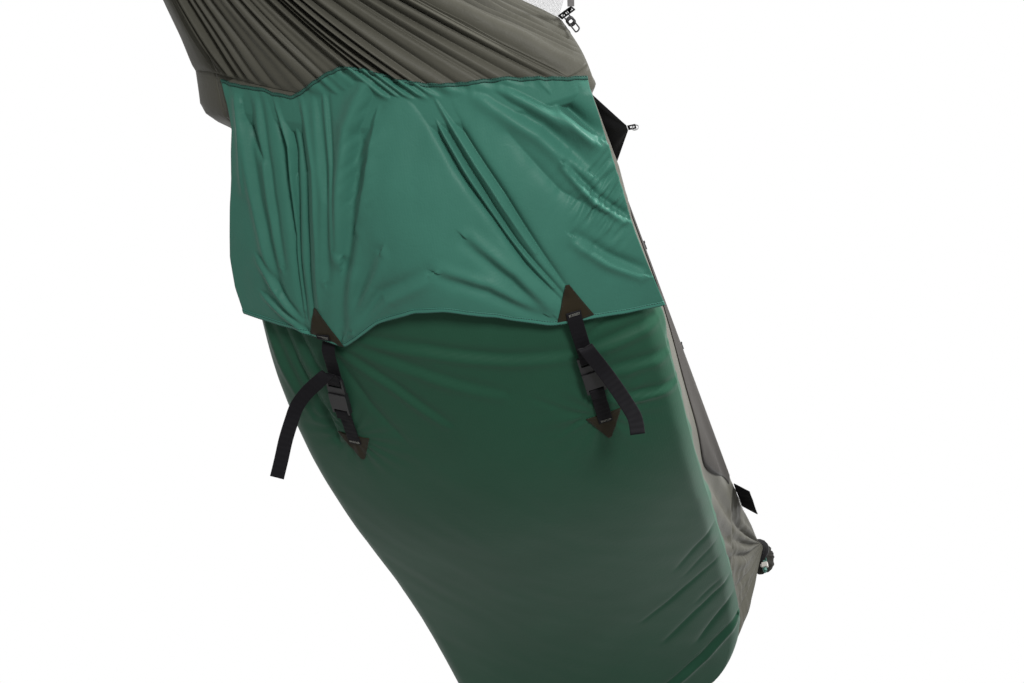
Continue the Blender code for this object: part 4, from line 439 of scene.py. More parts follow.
taupe_nylon = woven("taupe_nylon_cloth", (0.066, 0.064, 0.051), 0.50, crinkle=0.40)
body_spread = np.concatenate((np.linspace(-2.0, -1.0, 40, endpoint=False), np.linspace(-1.0, 1.0, 150),
                              np.linspace(1.0, 2.0, 41)[1:]))
body_stations = np.linspace(head_seam, foot_seam, 200)
body = np.array([body_row(middle, body_spread) for middle in body_stations])
body_m = np.repeat(body_stations[:, None], len(body_spread), 1)
body_n = np.repeat(body_spread[None, :] * 0.36, len(body_stations), 0)
on_wall = np.clip(np.abs(body_spread) - 1.0, 0.0, 1.0)[None, :]
wall_ease = np.sin(math.pi * on_wall)
fan_lines = np.sin(np.arctan2(body[..., 2], np.abs(gather_x - body[..., 0]) + 0.02) * 46.0)
tie_lines = np.sin(np.arctan2(body[..., 2] + 0.155, body[..., 0] + 0.79) * 38.0)
body_out = wall_ease * (0.0090 * fan_lines * ease((body[..., 0] - 0.1) / 0.7)
                        + 0.0035 * tie_lines * ease((0.2 - body[..., 0]) / 0.6)
                        + 0.004 * ripple(body_m, body_n, 0.11, 12.3, 2.5, 0.6))
body_out += (1.0 - np.clip(on_wall * 8.0, 0.0, 1.0)) * 0.0018 * ripple(body_m, body_n, 0.12, 4.2, 1.6)
body_out *= ease((foot_seam - body_m) / 0.050) * ease((body_m - head_seam) / 0.040)
body = body + grid_normals(body) * body_out[..., None]
bed = cloth("taupe_bed", body, np.stack((body_m, body_n), -1), taupe_nylon)
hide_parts("bed_sheet")
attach(bed, "hammock")
hem_dark = woven("hem_dark_band_cloth", (0.018, 0.015, 0.012), 0.60, thread=0.0009, crinkle=0.25)
body_facing = grid_normals(body)
body_facing = body_facing * (-1.0 if np.mean(body_facing[100, 100:130, 2]) > 0.0 else 1.0)
facing_stations = body_stations[4:196]
facing_shares = np.linspace(0.0, 1.0, 9)
# Dark bands down from the hems: narrow on the left; on the right it widens toward the foot to nearly half the
# wall, then narrows again at the foot seam.
for dark_band_name, which, deepest in (("right_hem_dark_band", -1.0, 0.46), ("left_hem_dark_band", 1.0, 0.06)):
    strip = []
    for row, middle in enumerate(facing_stations, 4):
        fuller = float(ease((middle + 0.10) / 0.75)) * float(ease((foot_seam - middle) / 0.60))
        at = which * (2.0 - (0.05 + (deepest - 0.05) * fuller) * facing_shares)
        lifted = body[row] + body_facing[row] * 0.0016
        strip.append(np.stack([np.interp(at, body_spread, lifted[:, axis]) for axis in range(3)], -1))
    strip_map = np.stack(np.meshgrid(facing_shares * 0.10, facing_stations), -1)
    dark_band_piece = cloth(dark_band_name, np.array(strip), strip_map, hem_dark, 0.0010)
    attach(dark_band_piece, "hammock")


# Gathered fans. Past each end seam the same cloth is drawn together into a bundle no
# thicker than a wrist, so that long sharp pleats run from the seam to the gather.
def pleat_profile(turn, pleats):
    """Sharp grooves between rounded pleats, over the fan's width from -1 to 1."""
    out = np.zeros(turn.shape)
    for middle, width, depth in pleats:
        away = np.abs(turn - middle) / width
        out += -depth * np.exp(-away ** 1.1) + 0.45 * depth * np.exp(-((away - 2.2) / 1.3) ** 2)
    return out


def uneven(count, seed, low, high, first=-0.97, last=0.97):
    """Pleats at uneven steps, each with its own width and depth."""
    out = []
    for step in range(count):
        drift = noise.noise(Vector((step * 0.73, seed, 0.5)))
        size = 0.5 + 0.5 * noise.noise(Vector((step * 1.31, seed, 4.5)))
        out.append((first + (last - first) * (step + 0.5 + 0.8 * drift) / count,
                    0.0065 + 0.0075 * size, low + (high - low) * size))
    return out


head_pleats = uneven(34, 2.0, 0.35, 1.0)
head_pleats += [(0.335, 0.006, 1.6), (0.365, 0.007, 1.5), (0.395, 0.006, 1.6), (0.425, 0.007, 1.2),
                (-0.045, 0.006, 1.6), (-0.020, 0.007, 1.3), (-0.075, 0.007, 1.7), (-0.105, 0.006, 1.2)]
foot_pleats = uneven(30, 7.0, 0.4, 1.2)
fan_rows, fan_columns = 130, 560
bundle_radius, bundle_wrap = 0.0212, math.radians(150.0)
half_kinks = np.array([0.0, 0.2, 0.4, 0.6, 0.8, 0.9, 0.965, 1.0, 1.25, 1.5, 1.75, 2.0])
kinks = np.concatenate((-half_kinks[:0:-1], half_kinks))
turn = np.linspace(-1.0, 1.0, fan_columns)
spread = np.interp(turn, np.linspace(-1.0, 1.0, len(kinks)), kinks)
shares = np.linspace(0.0, 1.0, fan_rows) ** 0.9
down_fan, turn_fan = np.meshgrid(shares, turn, indexing="ij")
spread_fan = np.repeat(spread[None, :], fan_rows, 0)
fans = {}
for at_head, pleats, fan_name in ((True, head_pleats, "head_pleats"), (False, foot_pleats, "foot_pleats")):
    end, seam_at = (-1.0, head_seam) if at_head else (1.0, foot_seam)
    gather = np.stack((np.full(turn.shape, end * bundle_x), bundle_radius * np.sin(bundle_wrap * turn),
                       -bundle_radius * np.cos(bundle_wrap * turn)), -1)
    reach_in = shares[:, None, None]
    fan = gather[None] * (1.0 - reach_in) + body_row(seam_at, spread)[None] * reach_in
    plain = 1.0 - np.clip(np.abs(spread) - 1.0, 0.0, 1.0)
    fan[..., 2] -= 0.030 * np.sin(math.pi * shares)[:, None] * plain[None, :]
    swing = ripple(down_fan, turn_fan, 0.09, 21.0, 5.0)
    size = 0.0022 + 0.0098 * ease(shares * 2.0) - 0.0065 * ease((shares - 0.62) / 0.38)
    size = size * (1.0 - ease((shares - 0.965) / 0.035))
    out = pleat_profile(turn, pleats)[None, :] * size[:, None] * (1.0 + 0.35 * swing)
    out += 0.0085 * swing * ease(shares * 2.0)[:, None] * (1.0 - ease((shares - 0.8) / 0.2))[:, None]
    crumple = ripple(down_fan * 0.5, spread_fan * 0.3, 0.035, 33.0, 1.8, 0.8)
    out += 0.0030 * crumple * (ease((shares - 0.25) / 0.3) * (1.0 - ease((shares - 0.92) / 0.08)))[:, None] \
        * ease((-spread - 0.75) / 0.35)[None, :]
    facing = grid_normals(fan)
    outward = -1.0 if np.mean(facing[60, 250:310, 2]) > 0.0 else 1.0
    fan = fan + facing * (out * outward)[..., None]
    neck = gather + np.array((end * 0.0095, 0.0, 0.0))
    fan = np.concatenate((neck[None], fan), 0)
    down = np.concatenate(((-0.01,), shares * 0.6))
    fan_map = np.stack(np.meshgrid(down, spread * 0.36, indexing="ij"), -1)
    piece = cloth(fan_name, fan, fan_map, taupe_nylon)
    fans[fan_name] = piece
    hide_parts("head_fan" if at_head else "foot_fan")
    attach(piece, "hammock")


# Head flap. A loose panel of brighter green nylon, sewn along the head seam with a
# puckered double stitch; its hem is turned twice and held down by the two straps.
flap_cloth = woven("flap_ripstop", (0.036, 0.130, 0.097), 0.46, crinkle=0.30, seeds=3.0)
seam_line = ((-0.310, -0.893), (-0.235, -0.915), (-0.177, -0.929), (-0.091, -0.936), (-0.031, -0.949),
             (0.005, -0.964), (0.053, -0.970), (0.100, -0.953), (0.149, -0.933), (0.177, -0.937),
             (0.208, -0.941), (0.274, -0.944))
hem_line = ((-0.366, -0.538), (-0.300, -0.556), (-0.254, -0.568), (-0.182, -0.580), (-0.104, -0.618),
            (-0.026, -0.642), (0.025, -0.643), (0.100, -0.622), (0.177, -0.573), (0.255, -0.590),
            (0.366, -0.593))
flap_folds = (
    ("groove", ((-0.985, 0.222), (-0.945, 0.201), (-0.878, 0.193), (-0.750, 0.205), (-0.613, 0.231)),
     0.0055, 0.0085),
    ("groove", ((-0.980, 0.190), (-0.938, 0.177), (-0.867, 0.175), (-0.751, 0.198), (-0.614, 0.224)),
     0.0050, 0.0090),
    ("groove", ((-0.975, 0.165), (-0.931, 0.158), (-0.840, 0.163), (-0.725, 0.186), (-0.625, 0.208)),
     0.0050, 0.0070),
    ("ridge", ((-0.975, 0.206), (-0.870, 0.184), (-0.750, 0.2015), (-0.630, 0.224)), 0.0050, 0.0060),
    ("ridge", ((-0.940, 0.145), (-0.840, 0.147), (-0.725, 0.170), (-0.640, 0.192)), 0.0080, 0.0050),
    ("pair", ((-0.940, 0.120), (-0.800, 0.135), (-0.690, 0.165)), 0.0100, 0.0034),
    ("pair", ((-0.955, 0.100), (-0.850, 0.112), (-0.740, 0.138)), 0.0060, 0.0030),
    ("pair", ((-0.930, 0.222), (-0.820, 0.232), (-0.700, 0.240)), 0.0080, 0.0040),
    ("pair", ((-0.910, 0.255), (-0.800, 0.262), (-0.660, 0.262)), 0.0110, 0.0050),
    ("pair", ((-0.930, -0.235), (-0.870, -0.262), (-0.820, -0.300)), 0.0090, 0.0080),
    ("pair", ((-0.800, -0.250), (-0.745, -0.285), (-0.700, -0.325)), 0.0080, 0.0070),
    ("pair", ((-0.700, -0.245), (-0.650, -0.290), (-0.610, -0.335)), 0.0110, 0.0060),
    ("groove", ((-1.000, 0.010), (-0.965, -0.009), (-0.910, -0.053), (-0.834, -0.088), (-0.765, -0.126),
                (-0.688, -0.162), (-0.615, -0.205)), 0.0055, 0.0100),
    ("groove", ((-0.985, -0.010), (-0.947, -0.036), (-0.877, -0.084), (-0.813, -0.115), (-0.719, -0.158),
                (-0.620, -0.212)), 0.0050, 0.0085),
    ("groove", ((-0.985, -0.035), (-0.944, -0.062), (-0.873, -0.108), (-0.788, -0.152), (-0.640, -0.214)),
     0.0055, 0.0075),
    ("ridge", ((-0.975, -0.020), (-0.895, -0.068), (-0.825, -0.101), (-0.740, -0.142), (-0.640, -0.196)),
     0.0045, 0.0060),
    ("ridge", ((-0.975, -0.046), (-0.875, -0.096), (-0.800, -0.134), (-0.700, -0.180)), 0.0045, 0.0055),
    ("pair", ((-0.965, -0.005), (-0.936, 0.026), (-0.889, 0.066), (-0.804, 0.101), (-0.730, 0.126)),
     0.0200, 0.0130),
    ("ridge", ((-0.965, 0.000), (-0.900, 0.030), (-0.830, 0.060), (-0.770, 0.090)), 0.0120, 0.0060),
    ("pair", ((-0.595, 0.165), (-0.667, 0.136), (-0.757, 0.099)), 0.0140, 0.0050),
    ("pair", ((-0.600, 0.160), (-0.668, 0.108), (-0.731, 0.060)), 0.0140, 0.0055),
    ("pair", ((-0.610, 0.140), (-0.669, 0.070), (-0.700, -0.010)), 0.0140, 0.0050),
    ("pair", ((-0.600, -0.185), (-0.674, -0.140), (-0.740, -0.084)), 0.0130, 0.0055),
    ("pair", ((-0.605, -0.170), (-0.665, -0.100), (-0.700, -0.034)), 0.0130, 0.0050),
    ("pair", ((-0.930, -0.165), (-0.890, -0.223), (-0.850, -0.275), (-0.815, -0.310)), 0.0150, 0.0110),
    ("pair", ((-0.920, -0.140), (-0.853, -0.223), (-0.785, -0.280)), 0.0150, 0.0080),
    ("groove", ((-0.860, -0.175), (-0.769, -0.237), (-0.715, -0.300)), 0.0100, 0.0050),
    ("groove", ((-0.930, 0.245), (-0.895, 0.250), (-0.850, 0.235)), 0.0070, 0.0080),
    ("ridge", ((-0.935, 0.262), (-0.880, 0.268), (-0.800, 0.285)), 0.0100, 0.0050),
    ("pair", ((-0.640, 0.290), (-0.600, 0.245), (-0.575, 0.215)), 0.0080, 0.0045),
    ("pair", ((-0.700, 0.280), (-0.640, 0.255), (-0.600, 0.235)), 0.0090, 0.0045),
)
flap_rows, flap_columns = 230, 420
flap_over = np.linspace(0.0, 1.0, flap_columns)
down_grid, over_grid = np.meshgrid(np.linspace(0.0, 1.0, flap_rows), flap_over, indexing="ij")
left_edge_m = (-0.950, -0.914, -0.880, -0.851, -0.814, -0.776, -0.693, -0.641, -0.596)
left_edge_n = (0.288, 0.284, 0.284, 0.293, 0.303, 0.316, 0.341, 0.350, 0.352)
right_edge_m = (-0.880, -0.851, -0.824, -0.781, -0.737, -0.677, -0.624, -0.539)
right_edge_n = (-0.308, -0.313, -0.317, -0.323, -0.329, -0.335, -0.344, -0.360)


def smoothed(values, size):
    """Values run together with their neighbours, their number unchanged."""
    kernel = np.hanning(size) / np.hanning(size).sum()
    return np.convolve(np.pad(values, size // 2, mode="edge"), kernel, mode="valid")


def noise_row(places, steps, seed):
    """Smooth noise along a row of places, finer with more steps."""
    return np.array([noise.noise(Vector((place * steps, seed, 0.0))) for place in places])


top_n = -0.306 + 0.572 * flap_over
low_n = -0.360 + 0.724 * flap_over
seam_m = smoothed(np.interp(top_n, [n for n, m in seam_line], [m for n, m in seam_line]), 17)
hem_m = smoothed(np.interp(low_n, [n for n, m in hem_line], [m for n, m in hem_line]), 17)
seam_m = seam_m + 0.0022 * noise_row(top_n, 70.0, 1.7)
flap_m = seam_m[None, :] + (hem_m - seam_m)[None, :] * down_grid
left_n = np.interp(flap_m, left_edge_m, left_edge_n)
right_n = np.interp(flap_m, right_edge_m, right_edge_n)
flap_n = right_n + (left_n - right_n) * over_grid
belly = np.sin(math.pi * down_grid ** 1.3) * 0.010
middle_rise = 0.0145 + 0.0130 * np.exp(-((over_grid - 0.48) / 0.16) ** 2)
standing = 0.0016 + middle_rise * ease(down_grid * 1.05) + belly * (0.4 + 0.6 * np.sin(math.pi * over_grid))
swell = 0.0045 * ripple(flap_m, flap_n, 0.085, 14.0, 2.2, 0.35)
swell = swell + 0.0016 * ripple(flap_m, flap_n, 0.028, 9.0, 2.0, 0.6)
for kind, route, width, depth in flap_folds:
    swell += fold(flap_m, flap_n, route, width * 0.85, depth * (1.5 if kind != "pair" else 1.25), kind)
crush = np.exp(-(((flap_n - 0.035 - 0.35 * (flap_m + 0.94)) / 0.028) ** 2)) * ease((flap_m + 0.965) / 0.05) \
    * ease((-0.76 - flap_m) / 0.06)
crush += np.exp(-(((flap_n + 0.300) / 0.045) ** 2)) * np.exp(-(((flap_m + 0.745) / 0.060) ** 2)) * 3.4
swell += crush * 0.0030 * ripple(flap_m, flap_n, 0.0085, 44.0, 4.0, 0.95)
ruffle = np.exp(-((down_grid / 0.045) ** 2)) * 0.0026 * noise_row(top_n, 95.0, 6.1)[None, :]
swell += ruffle
pinned = np.ones(swell.shape)
for strap_m, strap_n in ((-0.580, 0.201), (-0.580, -0.218)):
    away = np.hypot(flap_m - strap_m, flap_n - strap_n)
    pinned *= 1.0 - 0.80 * np.exp(-((away / 0.045) ** 2))
outward = standing + swell * pinned * (0.5 + 0.5 * ease(down_grid / 0.06))


def surface_of(*pieces):
    """A tree of the faces of some pieces, for finding places on them."""
    points, faces = [], []
    for piece in pieces:
        start = len(points)
        points += [vertex.co.copy() for vertex in piece.data.vertices]
        faces += [[start + index for index in face.vertices] for face in piece.data.polygons]
    return BVHTree.FromPolygons(points, faces)


def around(grid):
    """The mean of each value's four neighbours."""
    wide = np.pad(grid, 1, mode="edge")
    return (wide[:-2, 1:-1] + wide[2:, 1:-1] + wide[1:-1, :-2] + wide[1:-1, 2:]) / 4.0


backing = surface_of(shell, bed, fans["head_pleats"])
cast_from = 0.12
starts = bed_point(flap_m, flap_n, -cast_from)
inwards = bed_normal(flap_m, flap_n)
found = np.zeros(flap_m.shape)
for spot in np.ndindex(flap_m.shape):
    far = backing.ray_cast(Vector(starts[spot]), Vector(inwards[spot]))[3]
    found[spot] = cast_from - far if far is not None else -0.010
for _ in range(8):
    found = np.maximum(found, around(found))
held = ease(down_grid / 0.07)
outward = (found + 0.0016 + np.maximum(ruffle, -0.0012)) * (1.0 - held) \
    + np.maximum(outward, found + 0.0016) * held
flap_places = bed_point(flap_m, flap_n, -outward)
flap = cloth("head_cover", flap_places, np.stack((flap_m, flap_n), -1), flap_cloth)
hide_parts("head_flap")
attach(flap, "hammock")


# Flap edges. The hem and the seam allowance are narrow doubled bands, each with two running
# stitches of darker thread along its edges. The hem band is paler than the flap, a painted
# highlight where its edge catches the light; the seam band is a darker green.
# Paler than the flap cloth: painted highlight along the hem's edge.
hem_painted_highlight = woven("flap_hem_painted_highlight", (0.042, 0.160, 0.122), 0.44, crinkle=0.25, seeds=9.0)
seam_thread = woven("dark_thread", (0.010, 0.030, 0.024), 0.70, thread=0.0004, crinkle=0.1)


def passed_along(path):
    """How far along a path each of its points lies."""
    return np.concatenate(((0.0,), np.cumsum(np.linalg.norm(np.diff(path, axis=0), axis=1))))


def band(name, middle, inward, normal, width, rise, finish, thick=0.0008):
    """A doubled edge that lies on a sheet, rounded over its width."""
    shares = np.linspace(0.0, 1.0, 7)
    hump = np.sin(math.pi * shares) ** 0.5
    grid = middle[None] + inward[None] * (shares * width)[:, None, None] \
        + normal[None] * (rise * (0.35 + hump))[:, None, None]
    flat = np.stack(np.meshgrid(shares * width, passed_along(middle), indexing="ij"), -1)
    return cloth(name, grid, flat, finish, thick)


def stitches(name, path, normal, length, gap, width, finish):
    """A running stitch: short rounded threads end to end along a path."""
    far = passed_along(path)
    starts = np.arange(gap, far[-1] - length, length + gap)
    points, faces = [], []
    for start in starts:
        base = len(points)
        for at, size in ((start, 0.5), (start + 0.25 * length, 1.0), (start + 0.75 * length, 1.0),
                         (start + length, 0.5)):
            place, up, onward = (np.array([np.interp(spot, far, table[:, axis]) for axis in range(3)])
                                 for spot, table in ((at, path), (at, normal), (at + 0.0005, path)))
            way = onward - place
            across = np.cross(up, way / max(np.linalg.norm(way), 1e-9))
            points += [place + (across * a + up * b) * width * 0.5 * size
                       for a, b in ((-1.0, 0.0), (-0.5, 0.8), (0.5, 0.8), (1.0, 0.0))]
        for ring in (base, base + 4, base + 8):
            faces += [(ring + a, ring + b, ring + b + 4, ring + a + 4)
                      for a, b in ((0, 1), (1, 2), (2, 3), (3, 0))]
        faces += [(base + 3, base + 2, base + 1, base), (base + 12, base + 13, base + 14, base + 15)]
    return mesh_object(name, points, faces, finish)


flap_out = grid_normals(flap_places)
flap_out = flap_out * (-1.0 if np.mean(flap_out[..., 2]) > 0.0 else 1.0)
seam_cloth = woven("flap_seam_cloth", (0.022, 0.078, 0.060), 0.50, crinkle=0.35, seeds=9.0)
for edge_name, edge_row, step_in, edge_width, edge_finish in (
        ("flap_hem", -1, -6, 0.009, hem_painted_highlight), ("flap_seam", 0, 5, 0.006, seam_cloth)):
    inward = flap_places[step_in] - flap_places[edge_row]
    inward = inward / np.linalg.norm(inward, axis=-1, keepdims=True)
    edge = band(edge_name, flap_places[edge_row], inward, flap_out[edge_row], edge_width, 0.0009, edge_finish)
    edge_stitches = []
    for row, share in enumerate((0.12, 0.88)):
        line = flap_places[edge_row] + inward * edge_width * share + flap_out[edge_row] * 0.0013
        edge_stitches.append(stitches("%s_stitch_%d" % (edge_name, row), line, flap_out[edge_row],
                                      0.0034, 0.0010, 0.0013, seam_thread))
    for piece in [edge] + edge_stitches:
        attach(piece, "hammock")


# Strap patches. Four triangles of brown coated cloth with their edges turned under, sewn
# on the cover's hem and on the shell, with a stitch line just inside each edge.
def matrix_at(origin, ahead_way, upward):
    """A matrix with X ahead and Z as near upward as it can be."""
    x = ahead_way.normalized()
    y = upward.cross(x).normalized()
    z = x.cross(y)
    return Matrix(((x.x, y.x, z.x, origin.x), (x.y, y.y, z.y, origin.y),
                   (x.z, y.z, z.z, origin.z), (0.0, 0.0, 0.0, 1.0)))


def laid(tree, along, across, gap, reach=0.10):
    """A place on a piece's outer face under the bed, a gap outside it."""
    origin = Vector(bed_point(along, across, -reach))
    inward = Vector(bed_normal(np.float64(along), np.float64(across)))
    hit = tree.ray_cast(origin, inward)[0]
    if hit is None:
        hit = Vector(bed_point(along, across, -0.004))
    return hit - inward * gap, inward


patch_brown = woven("patch_brown_cloth", (0.0190, 0.0145, 0.0075), 0.66, thread=0.0009, crinkle=0.20,
                    fade=0.25)
bar_thread = woven("pale_thread", (0.30, 0.30, 0.27), 0.7, thread=0.0004, crinkle=0.1)
flap_tree, shell_tree = surface_of(flap), surface_of(shell)
patch_rows, patch_columns = 26, 21
patch_half, point_half, patch_length = 0.031, 0.003, 0.062
for patch_name, base, patch_n, direction, tree in (
        ("left_upper_patch", -0.576, 0.201, -1.0, flap_tree),
        ("right_upper_patch", -0.576, -0.218, -1.0, flap_tree),
        ("left_lower_patch", -0.363, 0.228, 1.0, shell_tree),
        ("right_lower_patch", -0.363, -0.228, 1.0, shell_tree)):
    share = np.arange(patch_rows)[:, None] / (patch_rows - 1)
    half = patch_half + (point_half - patch_half) * share
    grid_n = patch_n + half * (2.0 * np.arange(patch_columns) / (patch_columns - 1) - 1.0)
    grid_m = np.repeat(base + direction * patch_length * share, patch_columns, 1)
    lifts = np.zeros(grid_m.shape)
    for spot in np.ndindex(lifts.shape):
        place, inward = laid(tree, grid_m[spot], grid_n[spot], 0.0)
        lifts[spot] = (Vector(bed_point(grid_m[spot], grid_n[spot])) - place).dot(inward)
    for _ in range(6):
        lifts = around(lifts) * 0.5 + lifts * 0.5
    grid = bed_point(grid_m, grid_n, -lifts - 0.0016)
    patch = cloth(patch_name + "_cloth", grid, np.stack((grid_m, grid_n), -1), patch_brown, 0.0014)
    out = -bed_normal(grid_m, grid_n)
    edges = [stitches("%s_stitch_%d" % (patch_name, index), grid[line] + out[line] * 0.0008, out[line],
                      0.0026, 0.0010, 0.0006, seam_thread)
             for index, line in enumerate((np.s_[:, 1], np.s_[:, patch_columns - 2], np.s_[1, :]))]
    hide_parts(patch_name)
    for piece in [patch] + edges:
        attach(piece, "hammock")


# Straps. Black polypropylene webbing 25 mm wide: one length sewn on each upper patch up
# to the buckle's ladder, one sewn on each lower patch and looped round the far bar.
def strapping(name, places, sides, width, thick, finish, rib=7):
    """A flat band with soft round edges along a path; each side vector points across it."""
    round_edge = thick * 0.5
    angles = [math.pi * step / (rib - 1) - math.pi / 2.0 for step in range(rib)]
    section = [(width * 0.5 - round_edge + round_edge * math.cos(angle), round_edge * math.sin(angle))
               for angle in angles]
    middle = [(width * 0.5 * f, round_edge * 1.04) for f in (0.8, 0.5, 0.2, -0.2, -0.5, -0.8)]
    section = section + middle + [(-a, -b) for a, b in section] + [(-a, -b) for a, b in middle]
    points, faces, flat = [], [], []
    passed = 0.0
    for index, place in enumerate(places):
        way = (places[min(index + 1, len(places) - 1)] - places[max(index - 1, 0)]).normalized()
        across = (sides[index] - way * sides[index].dot(way)).normalized()
        face = way.cross(across).normalized()
        if index:
            passed += (place - places[index - 1]).length
        for a, b in section:
            points.append(place + across * a + face * b)
            flat.append((a, passed))
    count = len(section)
    for index in range(len(places) - 1):
        for step in range(count):
            beside = (step + 1) % count
            faces.append((index * count + step, index * count + beside, (index + 1) * count + beside,
                          (index + 1) * count + step))
    faces.append(tuple(range(count))[::-1])
    faces.append(tuple((len(places) - 1) * count + step for step in range(count)))
    return mesh_object(name, points, faces, finish, flat, turned=True)


def run_of(places):
    return sum((b - a).length for a, b in zip(places, places[1:]))


def smooth_route(route, spacing, between=12):
    """Points at even steps along a smooth curve through a route's own points."""
    dense = []
    last = len(route) - 1
    for index in range(last):
        before, here = route[max(0, index - 1)], route[index]
        after, beyond_it = route[index + 1], route[min(last, index + 2)]
        for step in range(between):
            t = step / between
            dense.append(0.5 * ((2.0 * here) + (after - before) * t
                         + (2.0 * before - 5.0 * here + 4.0 * after - beyond_it) * t * t
                         + (3.0 * here - before - 3.0 * after + beyond_it) * t * t * t))
    dense.append(route[-1])
    total = run_of(dense)
    count = max(2, round(total / spacing))
    places, passed, target = [dense[0]], 0.0, total / count
    for a, b in zip(dense, dense[1:]):
        run = (b - a).length
        while passed + run >= target and len(places) < count:
            places.append(a.lerp(b, (target - passed) / run))
            target += total / count
        passed += run
    places.append(dense[-1])
    return places


def turned_back(frame_of, bar, outward, radius, steps=8):
    """Half a turn round a bar, from the band's near face to its far one."""
    angles = [math.pi * step / steps for step in range(steps + 1)]
    return [frame_of @ Vector((bar + outward * radius * math.sin(angle), 0.0, -radius * math.cos(angle)))
            for angle in angles]


webbing_black, webbing_shader, webbing_tree = material(
    "webbing_black", Base_Color=(0.0065, 0.0060, 0.0075, 1.0), Roughness=0.70, Sheen_Weight=0.02,
    Sheen_Roughness=0.4, Specular_IOR_Level=0.10)
webbing_map = add(webbing_tree, "TexCoord").outputs["UV"]
ribs = [add(webbing_tree, "TexWave", bands_direction=way, Vector=webbing_map, Scale=1.0 / (pitch * 20.0),
            Distortion=0.3).outputs["Fac"] for way, pitch in (("Y", 0.0016), ("DIAGONAL", 0.0022))]
webbing_height = add(webbing_tree, "Math", *ribs, operation="ADD")
webbing_bump = add(webbing_tree, "Bump", Height=webbing_height.outputs[0], Strength=0.55, Distance=0.0005)
sets(webbing_shader, Normal=webbing_bump.outputs[0])

strap_wide, strap_thick, wrap_radius, layer = 0.025, 0.0016, 0.0034, -0.0056
ladder_second, far_bar = 0.08725, 0.15435
tail_routes = {
    "left": ((0.0600, -0.001, 0.0060), (0.0575, -0.004, 0.0130), (0.068, -0.017, 0.0220),
             (0.090, -0.040, 0.0340), (0.112, -0.056, 0.0480), (0.135, -0.064, 0.0640),
             (0.160, -0.069, 0.0870), (0.185, -0.071, 0.1103), (0.210, -0.074, 0.1327)),
    "right": ((0.055, 0.001, 0.0050), (0.048, 0.003, 0.0100), (0.055, 0.006, 0.0150), (0.071, 0.011, 0.0165),
              (0.104, 0.021, 0.0185), (0.131, 0.030, 0.0300), (0.158, 0.039, 0.0473), (0.180, 0.045, 0.0674),
              (0.199, 0.041, 0.0867))}
for strap_name, up_n, low_n_place in (("left", 0.201, 0.228), ("right", -0.218, -0.228)):
    start = Vector(bed_point(-0.576, up_n, -0.0245))
    end = Vector(bed_point(-0.363, low_n_place, -0.0120))
    inward = Vector(bed_normal(np.float64(-0.4695), np.float64((up_n + low_n_place) / 2.0)))
    frame_of = matrix_at(start, end - start, -inward)
    across = frame_of.to_3x3() @ Vector((0.0, 1.0, 0.0))

    upper = [laid(flap_tree, m, up_n, gap)[0]
             for m, gap in ((-0.594, 0.0040), (-0.585, 0.0040), (-0.578, 0.0042))]
    upper += [frame_of @ Vector((x, 0.0, layer)) for x in (0.018, 0.050, 0.0855)]
    upper_places = smooth_route(upper, 0.003)
    upper_strap = strapping(strap_name + "_upper_strap", upper_places, [across] * len(upper_places),
                            strap_wide, strap_thick, webbing_black)
    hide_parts(strap_name + "_upper_webbing")

    lower = [laid(shell_tree, m, low_n_place, 0.0038)[0] for m in (-0.345, -0.354, -0.362)]
    lower += turned_back(frame_of, far_bar, -1.0, wrap_radius)
    lower += [frame_of @ Vector((far_bar + x, 0.0, wrap_radius)) for x in (0.008, 0.016)]
    lower_places = smooth_route(lower, 0.0015)
    lower_strap = strapping(strap_name + "_lower_strap", lower_places, [across] * len(lower_places),
                            strap_wide, strap_thick, webbing_black)
    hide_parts(strap_name + "_lower_webbing")

    bars = []
    for base_m, base_n, tree, ways in ((-0.588, up_n, flap_tree, -1.0),
                                       (-0.352, low_n_place, shell_tree, 1.0)):
        for row in range(3):
            m = base_m + ways * 0.0016 * row
            row_path = [laid(tree, m, base_n + n, 0.0054) for n in np.linspace(-0.010, 0.010, 9)]
            bars.append(stitches("%s_bar_%d_%d" % (strap_name, ways > 0, row),
                                 np.array([place for place, into in row_path]),
                                 np.array([-into for place, into in row_path]), 0.0018, 0.0006, 0.0006,
                                 bar_thread))
    for piece in [upper_strap, lower_strap] + bars:
        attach(piece, "hammock")

    tail = [frame_of @ Vector((ladder_second - 0.016, 0.0, -wrap_radius))]
    tail += turned_back(frame_of, ladder_second, 1.0, wrap_radius)
    route = [frame_of @ Vector((ladder_second - 0.016, 0.0, wrap_radius))]
    route += [frame_of @ Vector(place) for place in tail_routes[strap_name]]
    hanging = smooth_route(route, 0.003)
    facing = Vector((0.705, 0.395, 0.593))
    tail_places, tail_sides = tail + hanging, [across] * len(tail)
    for index in range(len(hanging)):
        way = hanging[min(index + 1, len(hanging) - 1)] - hanging[max(index - 1, 0)]
        face_on = way.cross(facing).normalized()
        if face_on.dot(across) < 0.0:
            face_on = -face_on
        tail_sides.append(across.lerp(face_on, float(ease(index / (len(hanging) * 0.5)))))
    loose = strapping(strap_name + "_tail_strap", tail_places, tail_sides, strap_wide, strap_thick,
                      webbing_black)
    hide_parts(strap_name + "_tail_webbing")
    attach(loose, strap_name + "_release")


